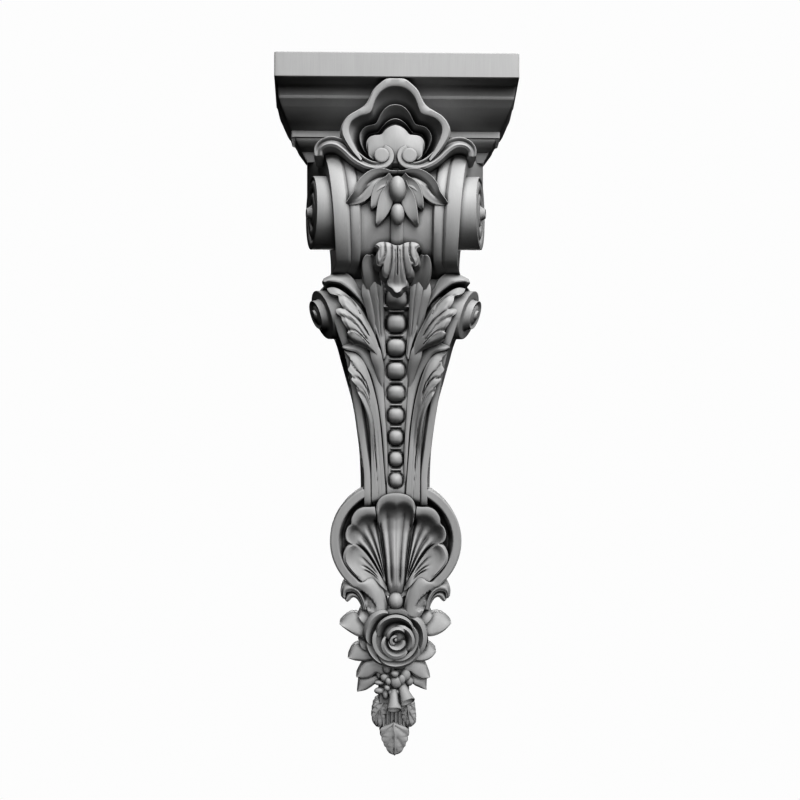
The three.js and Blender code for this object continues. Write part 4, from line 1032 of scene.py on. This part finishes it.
def domed(root, tip, tilt):
    """The height of a smooth leaf: a line from root to tip, a dome across it, a tilt and thin edges."""
    def off(s, v, z):
        thin = 1.2 * bump(s, 0, 0.06) + 1.2 * bump(s, 1, 0.06)
        return mix(root, tip, v) + 1.2 * np.sin(np.pi * s) ** 0.7 + tilt * (1 - 2 * s) - thin
    return off


for upper, lower, root, tip, tilt in ROSE_LEAVES:
    band(moved(lower, 0, -LEAVES_DOWN), moved(upper, 0, -LEAVES_DOWN), domed(root, tip, tilt), BACK,
         rows=18, edge=0.4, flare=0.3)
print("leaves round the rose:", len(ROSE_LEAVES))

# %% [markdown]
# Two small blossoms sit over two hanging bells, on a short stalk. A blossom is a ball with rounded
# petals about it, so both are balls flattened to three half sizes. A bell is a turned form: its rings
# widen to a mouth, turn over at the edge and go back inside, so that it is hollow.

# %% Blossoms
PETALS = [
    # x, z, off, half width, half height, half depth
    (2.6, -477.6, 24.4, 6.2, 3.4, 3.4), (-7.6, -480.4, 22.6, 4, 4.4, 3), (8.4, -486.2, 22, 4.8, 5.4, 3),
    (-9.4, -488.6, 21.4, 4.2, 4, 3), (0.4, -491.8, 23.4, 5.6, 5.8, 3.4), (5.2, -489.4, 24, 3.4, 4.6, 2.4),
    (-6.6, -491, 24.6, 2.7, 3.4, 2.6), (-14, -493.4, 19.6, 4.8, 2.3, 3), (-14.2, -500.6, 19.4, 4.8, 3, 3.2),
    (-8.8, -503.8, 20.4, 3, 4.4, 3), (-4.4, -501.4, 22, 2.6, 3, 2.6), (1.2, -501.6, 22, 3.2, 3.2, 2.6),
    (-14.6, -483, 17.4, 3, 8.4, 3), (-11.6, -479, 18, 2, 6.4, 4), (11.6, -492.4, 18, 4.4, 4.6, 3),
]
for spot in PETALS:
    ball(*spot, sides=20)
ball(-0.9, -483.8, 25.8, 3.6, 3.6, 3.6, sides=20)
ball(-7.7, -496.6, 25, 2.7, 2.7, 2.8, sides=16)
relief(*np.meshgrid(np.linspace(-13, 10, 3), np.linspace(-512, -468, 3)), 17, BACK, edge=2)
print("blossoms:", len(PETALS), "petals and 2 balls")

# %% Bells
BELL = np.array([(0.3, 0), (2.4, 0), (3.6, -0.8), (3.7, -3), (4, -7), (4.6, -11), (5.5, -14.4),
                 (5.9, -15.6), (5.7, -16.1), (5.2, -15.8), (4.6, -13), (3.4, -9), (0.3, -8)], float)


def spun(first, second, angle):
    """Two coordinates turned by an angle in radians."""
    c, s = np.cos(angle), np.sin(angle)
    return first * c - second * s, first * s + second * c


def bell(x, z, off, tilt, nod, size):
    """Rings (radius, height) turned about a hanging axis, then nodded forward so that the mouth shows,
    and tilted sideways."""
    a = np.linspace(0, 2 * np.pi, 32, endpoint=False)[None, :]
    reach, height = size * BELL[:, :1], size * BELL[:, 1:]
    across, deep, down = reach * np.cos(a), reach * np.sin(a), height + 0 * a
    deep, down = spun(deep, down, nod)
    across, down = spun(across, down, tilt)
    turned(np.stack([x + across, off + deep, z + down], -1))


bell(-1.4, -499.6, 20, 0, 0.62, 1.12)
bell(4.4, -494.4, 18, 0.42, 0.62, 1.14)
print("bells: 2, mouth", 2 * BELL[:, 0].max(), "mm")

# %% [markdown]
# Three veined leaves close the foot of the carving, the middle one in front. Each has a raised midrib
# and side veins that leave it in pairs and curve down to a toothed edge: grooves where a number that
# rises along the leaf and falls away from the midrib is halfway between two whole ones. A fluted
# block fills the gap between the leaves.

# %% Leaves at the foot
FOOT_LEAVES = [
    # left edge, right edge, height, pairs of veins
    ([(-7.6, -504.6), (-13.9, -508.8), (-18.4, -513.6), (-19.8, -519), (-20.4, -524.2), (-19.8, -529.6),
      (-17, -533)],
     [(-4, -506), (-5, -511), (-6.6, -516), (-8.6, -521), (-10.6, -526), (-12, -530.6), (-13.4, -533.2)],
     15, 3),
    ([(5, -506), (4.6, -511), (4.8, -516), (5.4, -521), (6.6, -526), (8.2, -530.4), (10.4, -532.8)],
     [(8, -505), (13, -509), (16, -514.2), (16.8, -520), (17.4, -525.6), (17.4, -530.4), (14, -533.4)],
     15, 3),
    ([(-3.4, -529), (-8, -531.6), (-12.6, -535.1), (-12.8, -539.7), (-11, -546), (-8.6, -551.5), (-5.6, -556),
      (-2.4, -557.6)],
     [(-0.4, -529), (3, -530.8), (8.8, -534.2), (11.2, -538), (10.4, -543.4), (8.8, -548.6), (5, -555.4),
      (0.4, -557.6)], 16.6, 3.4),
]
TEETH = 8
TOOTH_DEPTH = 1.4


def toothed(points, way):
    """A line whose teeth point down the leaf: each goes out slowly and steps back at once."""
    t = np.linspace(0, 1, 97)
    line = evenly(points, t)
    saw = (TEETH * t) % 1
    tooth = np.where(saw < 0.8, saw / 0.8, (1 - saw) / 0.2) - 0.5
    line[:, 0] += way * TOOTH_DEPTH * tooth * np.sin(np.pi * np.clip(1.15 * t, 0, 1)) ** 0.5
    return line


def veined(high, veins):
    """The height of a foot leaf: it falls from the rib to the edges, with a groove at each vein."""
    def off(s, v, z):
        t = np.abs(2 * s - 1)
        vein = ((v * veins - 1.7 * t + 0.5 * t * t) % 1) - 0.5
        grooves = 1.0 * bump(vein, 0, 0.2) * step(0.04, 0.2, t)
        return high - 2 + 2 * np.sin(np.pi * v**0.7) - 1.8 * t**1.5 + 5 * v - grooves + 0.9 * bump(t, 0, 0.1)
    return off


BLOCK_FLUTE = 3.6
block_x, block_z = np.meshgrid(np.linspace(-11, 9, 31), np.linspace(-541, -500, 6))
relief(block_x, block_z, 15 + 0.8 * np.cos(2 * np.pi * block_x / BLOCK_FLUTE), BACK)
for left, right, high, veins in FOOT_LEAVES:
    band(toothed(left, -1), toothed(right, 1), veined(high, veins), BACK, columns=22, rows=54, edge=0.4)
print("foot leaves:", len(FOOT_LEAVES))

# %% [markdown]
# All shells become one object, because the real thing is one block of wood. Points are held inside the
# box of the solid model, sizes turn to metres, and edges sharper than forty degrees stay crisp, as a
# gouge leaves them.

# %% One carved piece
CRISP_EDGE = math.radians(40)
low, high = (np.array(corner) / MM for corner in solid_box)
spots, loops, sizes = [], [], []
base = 0
for points, quads, caps in carving:
    spots.append(np.clip(points, low, high))
    loops += [quads.ravel() + base] + [np.asarray(cap) + base for cap in caps]
    sizes += [np.full(len(quads), 4)] + [np.array([len(cap)]) for cap in caps]
    base += len(points)
spots, loops, sizes = np.concatenate(spots) * MM, np.concatenate(loops), np.concatenate(sizes)
mesh = bpy.data.meshes.new("carved_corbel")
mesh.vertices.add(len(spots))
mesh.vertices.foreach_set("co", spots.ravel())
mesh.loops.add(len(loops))
mesh.loops.foreach_set("vertex_index", loops.astype(np.int32))
mesh.polygons.add(len(sizes))
mesh.polygons.foreach_set("loop_start", np.concatenate([[0], np.cumsum(sizes)[:-1]]).astype(np.int32))
mesh.update(calc_edges=True)
mesh.validate()
mesh.shade_smooth()
planed = len(carving[0][1]) + len(carving[0][2])
mesh.polygons.foreach_set("use_smooth", np.arange(len(sizes)) >= planed)
mesh.set_sharp_from_angle(angle=CRISP_EDGE)
corbel = bpy.data.objects.new("carved_corbel", mesh)
bpy.context.collection.objects.link(corbel)
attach(corbel, "root")
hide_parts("corbel")
print("shells:", len(carving), "points:", len(spots), "triangles:", int(np.sum(sizes - 2)))

# %% [markdown]
# The wood is primed and painted with a neutral grey eggshell, brushed by hand. The eye takes it for
# painted wood and not for plaster because the paint follows the grain: very fine ridges that run down
# the carving, a faint change of tone from stroke to stroke, and a sheen that is broken where the brush
# left the coat thinner. All of this is read from the object's own coordinates, in millimetres. Shade is
# also painted into the colour: ambient occlusion darkens the hollows.

# %% Painted wood
def linear(code):
    """Linear colour of an sRGB hex code: values over 0.04045 are ((c + 0.055) / 1.055) to the 2.4."""
    c = np.array([int(code[i:i + 2], 16) for i in (0, 2, 4)]) / 255
    rgb = np.where(c > 0.04045, ((c + 0.055) / 1.055) ** 2.4, c / 12.92)
    return (*rgb, 1.0)


def node(tree, kind, links=None, **settings):
    """Adds a node, sets its properties or its inputs by name, and links its inputs."""
    made = tree.nodes.new(kind)
    for name, value in settings.items():
        if hasattr(made, name):
            setattr(made, name, value)
        else:
            made.inputs[name.replace("_", " ")].default_value = value
    for name, source in (links or {}).items():
        tree.links.new(source, made.inputs[name])
    return made


def noise(tree, coordinates, stretch, detail):
    """Noise whose spots measure stretch, in millimetres, along x, y and z."""
    per_metre = [1 / (MM * size) for size in stretch]
    scale = node(tree, "ShaderNodeMapping", {"Vector": coordinates}, Scale=per_metre)
    spots = node(tree, "ShaderNodeTexNoise", {"Vector": scale.outputs["Vector"]}, Scale=1.0, Detail=detail,
                 Roughness=0.55)
    return spots.outputs["Fac"]


def ramp(tree, value, start, stop, low, high):
    """Carries a value between start and stop to one between low and high."""
    carried = node(tree, "ShaderNodeMapRange", {"Value": value}, From_Min=start, From_Max=stop, To_Min=low,
                   To_Max=high)
    return carried.outputs["Result"]


def maths(tree, operation, first, second):
    """The sum or product of two values."""
    return node(tree, "ShaderNodeMath", {0: first, 1: second}, operation=operation).outputs[0]


paint = bpy.data.materials.new("painted_wood_grey_eggshell")
paint.use_nodes = True
tree = paint.node_tree
shader = tree.nodes["Principled BSDF"]
here = node(tree, "ShaderNodeTexCoord").outputs["Object"]
grain = noise(tree, here, (0.7, 0.7, 26), 4)
strokes = noise(tree, here, (5, 5, 60), 3)
coat = noise(tree, here, (38, 38, 55), 2)

# Three sizes of noise share the change of tone between a darker and a lighter grey.
fine_tone = maths(tree, "ADD", ramp(tree, grain, 0.3, 0.7, 0, 0.4), ramp(tree, strokes, 0.3, 0.7, 0, 0.35))
tone = maths(tree, "ADD", fine_tone, ramp(tree, coat, 0.3, 0.7, 0, 0.25))
coat_colour = node(tree, "ShaderNodeMix", {"Factor": tone}, data_type="RGBA")
coat_colour.inputs[6].default_value = linear("909090")
coat_colour.inputs[7].default_value = linear("9b9b9b")

# Painted shade: in the hollows the base colour darkens toward near black where ambient occlusion finds cuts
# within 6 mm, and more faintly within 24 mm.
near = node(tree, "ShaderNodeAmbientOcclusion", Distance=6 * MM, samples=8)
far = node(tree, "ShaderNodeAmbientOcclusion", Distance=24 * MM, samples=8)
near_open = ramp(tree, near.outputs["AO"], 0.28, 0.86, 0, 1)
far_open = ramp(tree, far.outputs["AO"], 0.1, 0.72, 0.52, 1)
open_part = maths(tree, "MULTIPLY", near_open, far_open)
painted_shade = node(tree, "ShaderNodeMix", {"Factor": open_part}, data_type="RGBA")
# The near black that the painted shade darkens the hollows toward.
painted_shade.inputs[6].default_value = linear("101010")
tree.links.new(coat_colour.outputs[2], painted_shade.inputs[7])
tree.links.new(painted_shade.outputs[2], shader.inputs["Base Color"])

# The sheen is broken from stroke to stroke, and the ridges stand 0.06 and 0.2 mm high.
tree.links.new(ramp(tree, strokes, 0.25, 0.75, 0.5, 0.68), shader.inputs["Roughness"])
bump_grain = node(tree, "ShaderNodeBump", {"Height": grain}, Strength=0.18, Distance=0.06 * MM)
bump_strokes = node(tree, "ShaderNodeBump", {"Height": strokes, "Normal": bump_grain.outputs["Normal"]},
                    Strength=0.3, Distance=0.2 * MM)
tree.links.new(bump_strokes.outputs["Normal"], shader.inputs["Normal"])
shader.inputs["IOR"].default_value = 1.48
shader.inputs["Specular IOR Level"].default_value = 0.3
corbel.data.materials.append(paint)
print("paint:", len(tree.nodes), "nodes")

# %% [markdown]
# The photograph is taken straight on, against a seamless pale ground, with light from the upper right
# and almost nothing from below. The key lamp throws no shadow, because the photo's shelf throws none;
# the soft key does, and a lamp behind lights only the wall side. Floor and backdrop glow the same pale
# grey and are seen only by the camera, so they throw no light up onto the undersides.

# %% Floor and backdrop
PALE = "f7f7f7"
GLOW = 1.06
floor_mesh = bpy.data.meshes.new("floor")
floor_mesh.from_pydata([(-3, -2, -0.7), (3, -2, -0.7), (3, 4, -0.7), (-3, 4, -0.7)], [], [(0, 1, 2, 3)])
floor = bpy.data.objects.new("floor", floor_mesh)
bpy.context.collection.objects.link(floor)
glow = bpy.data.materials.new("pale_floor")
glow.use_nodes = True
glow.node_tree.nodes.clear()
light = node(glow.node_tree, "ShaderNodeEmission", Color=linear(PALE), Strength=GLOW)
node(glow.node_tree, "ShaderNodeOutputMaterial", {"Surface": light.outputs[0]})
floor_mesh.materials.append(glow)
floor.visible_diffuse = floor.visible_glossy = floor.visible_shadow = False

world = bpy.data.worlds.new("studio")
bpy.context.scene.world = world
world.use_nodes = True
background = world.node_tree.nodes["Background"]
background.inputs["Color"].default_value = linear(PALE)
background.inputs["Strength"].default_value = GLOW
world.cycles_visibility.diffuse = world.cycles_visibility.glossy = False
print("ground:", PALE)


# %% Lamps
def lamp(name, direction, reach, size, power, shadow):
    """A square lamp a reach away from the middle of the carving, facing it."""
    data = bpy.data.lights.new(name, "AREA")
    data.energy, data.size, data.use_shadow = power, size, shadow
    made = bpy.data.objects.new(name, data)
    way = Vector(direction).normalized()
    made.location = Vector((0, -0.05, -0.26)) + reach * way
    made.rotation_euler = way.to_track_quat("Z", "Y").to_euler()
    bpy.context.collection.objects.link(made)


LAMPS = [
    # name, direction, distance in metres, size in metres, watts, whether it throws shadows
    ("key", (0.26, -0.52, 0.8), 2.4, 0.6, 75, False),
    ("soft key", (0.2, -0.8, 0.56), 2.4, 1.6, 62, True),
    ("back", (0, 1, 0.05), 2.4, 1.0, 40, True),
]
for row in LAMPS:
    lamp(*row)
print("lamps:", len(LAMPS))

# %% Camera
camera_data = bpy.data.cameras.new("camera")
camera_data.sensor_width = 36
FOCAL_PIXELS, PICTURE_PIXELS = 966, 800
camera_data.lens = FOCAL_PIXELS / PICTURE_PIXELS * camera_data.sensor_width
view = bpy.context.scene.view_settings
view.view_transform, view.gamma = "Standard", 0.76
camera = bpy.data.objects.new("camera", camera_data)
camera.location = (-0.0155, -0.874, -0.2435)
camera.rotation_euler = Euler((math.radians(90), 0, math.radians(-1.3)))
bpy.context.collection.objects.link(camera)
bpy.context.scene.camera = camera
print("lens:", round(camera_data.lens, 2), "mm")
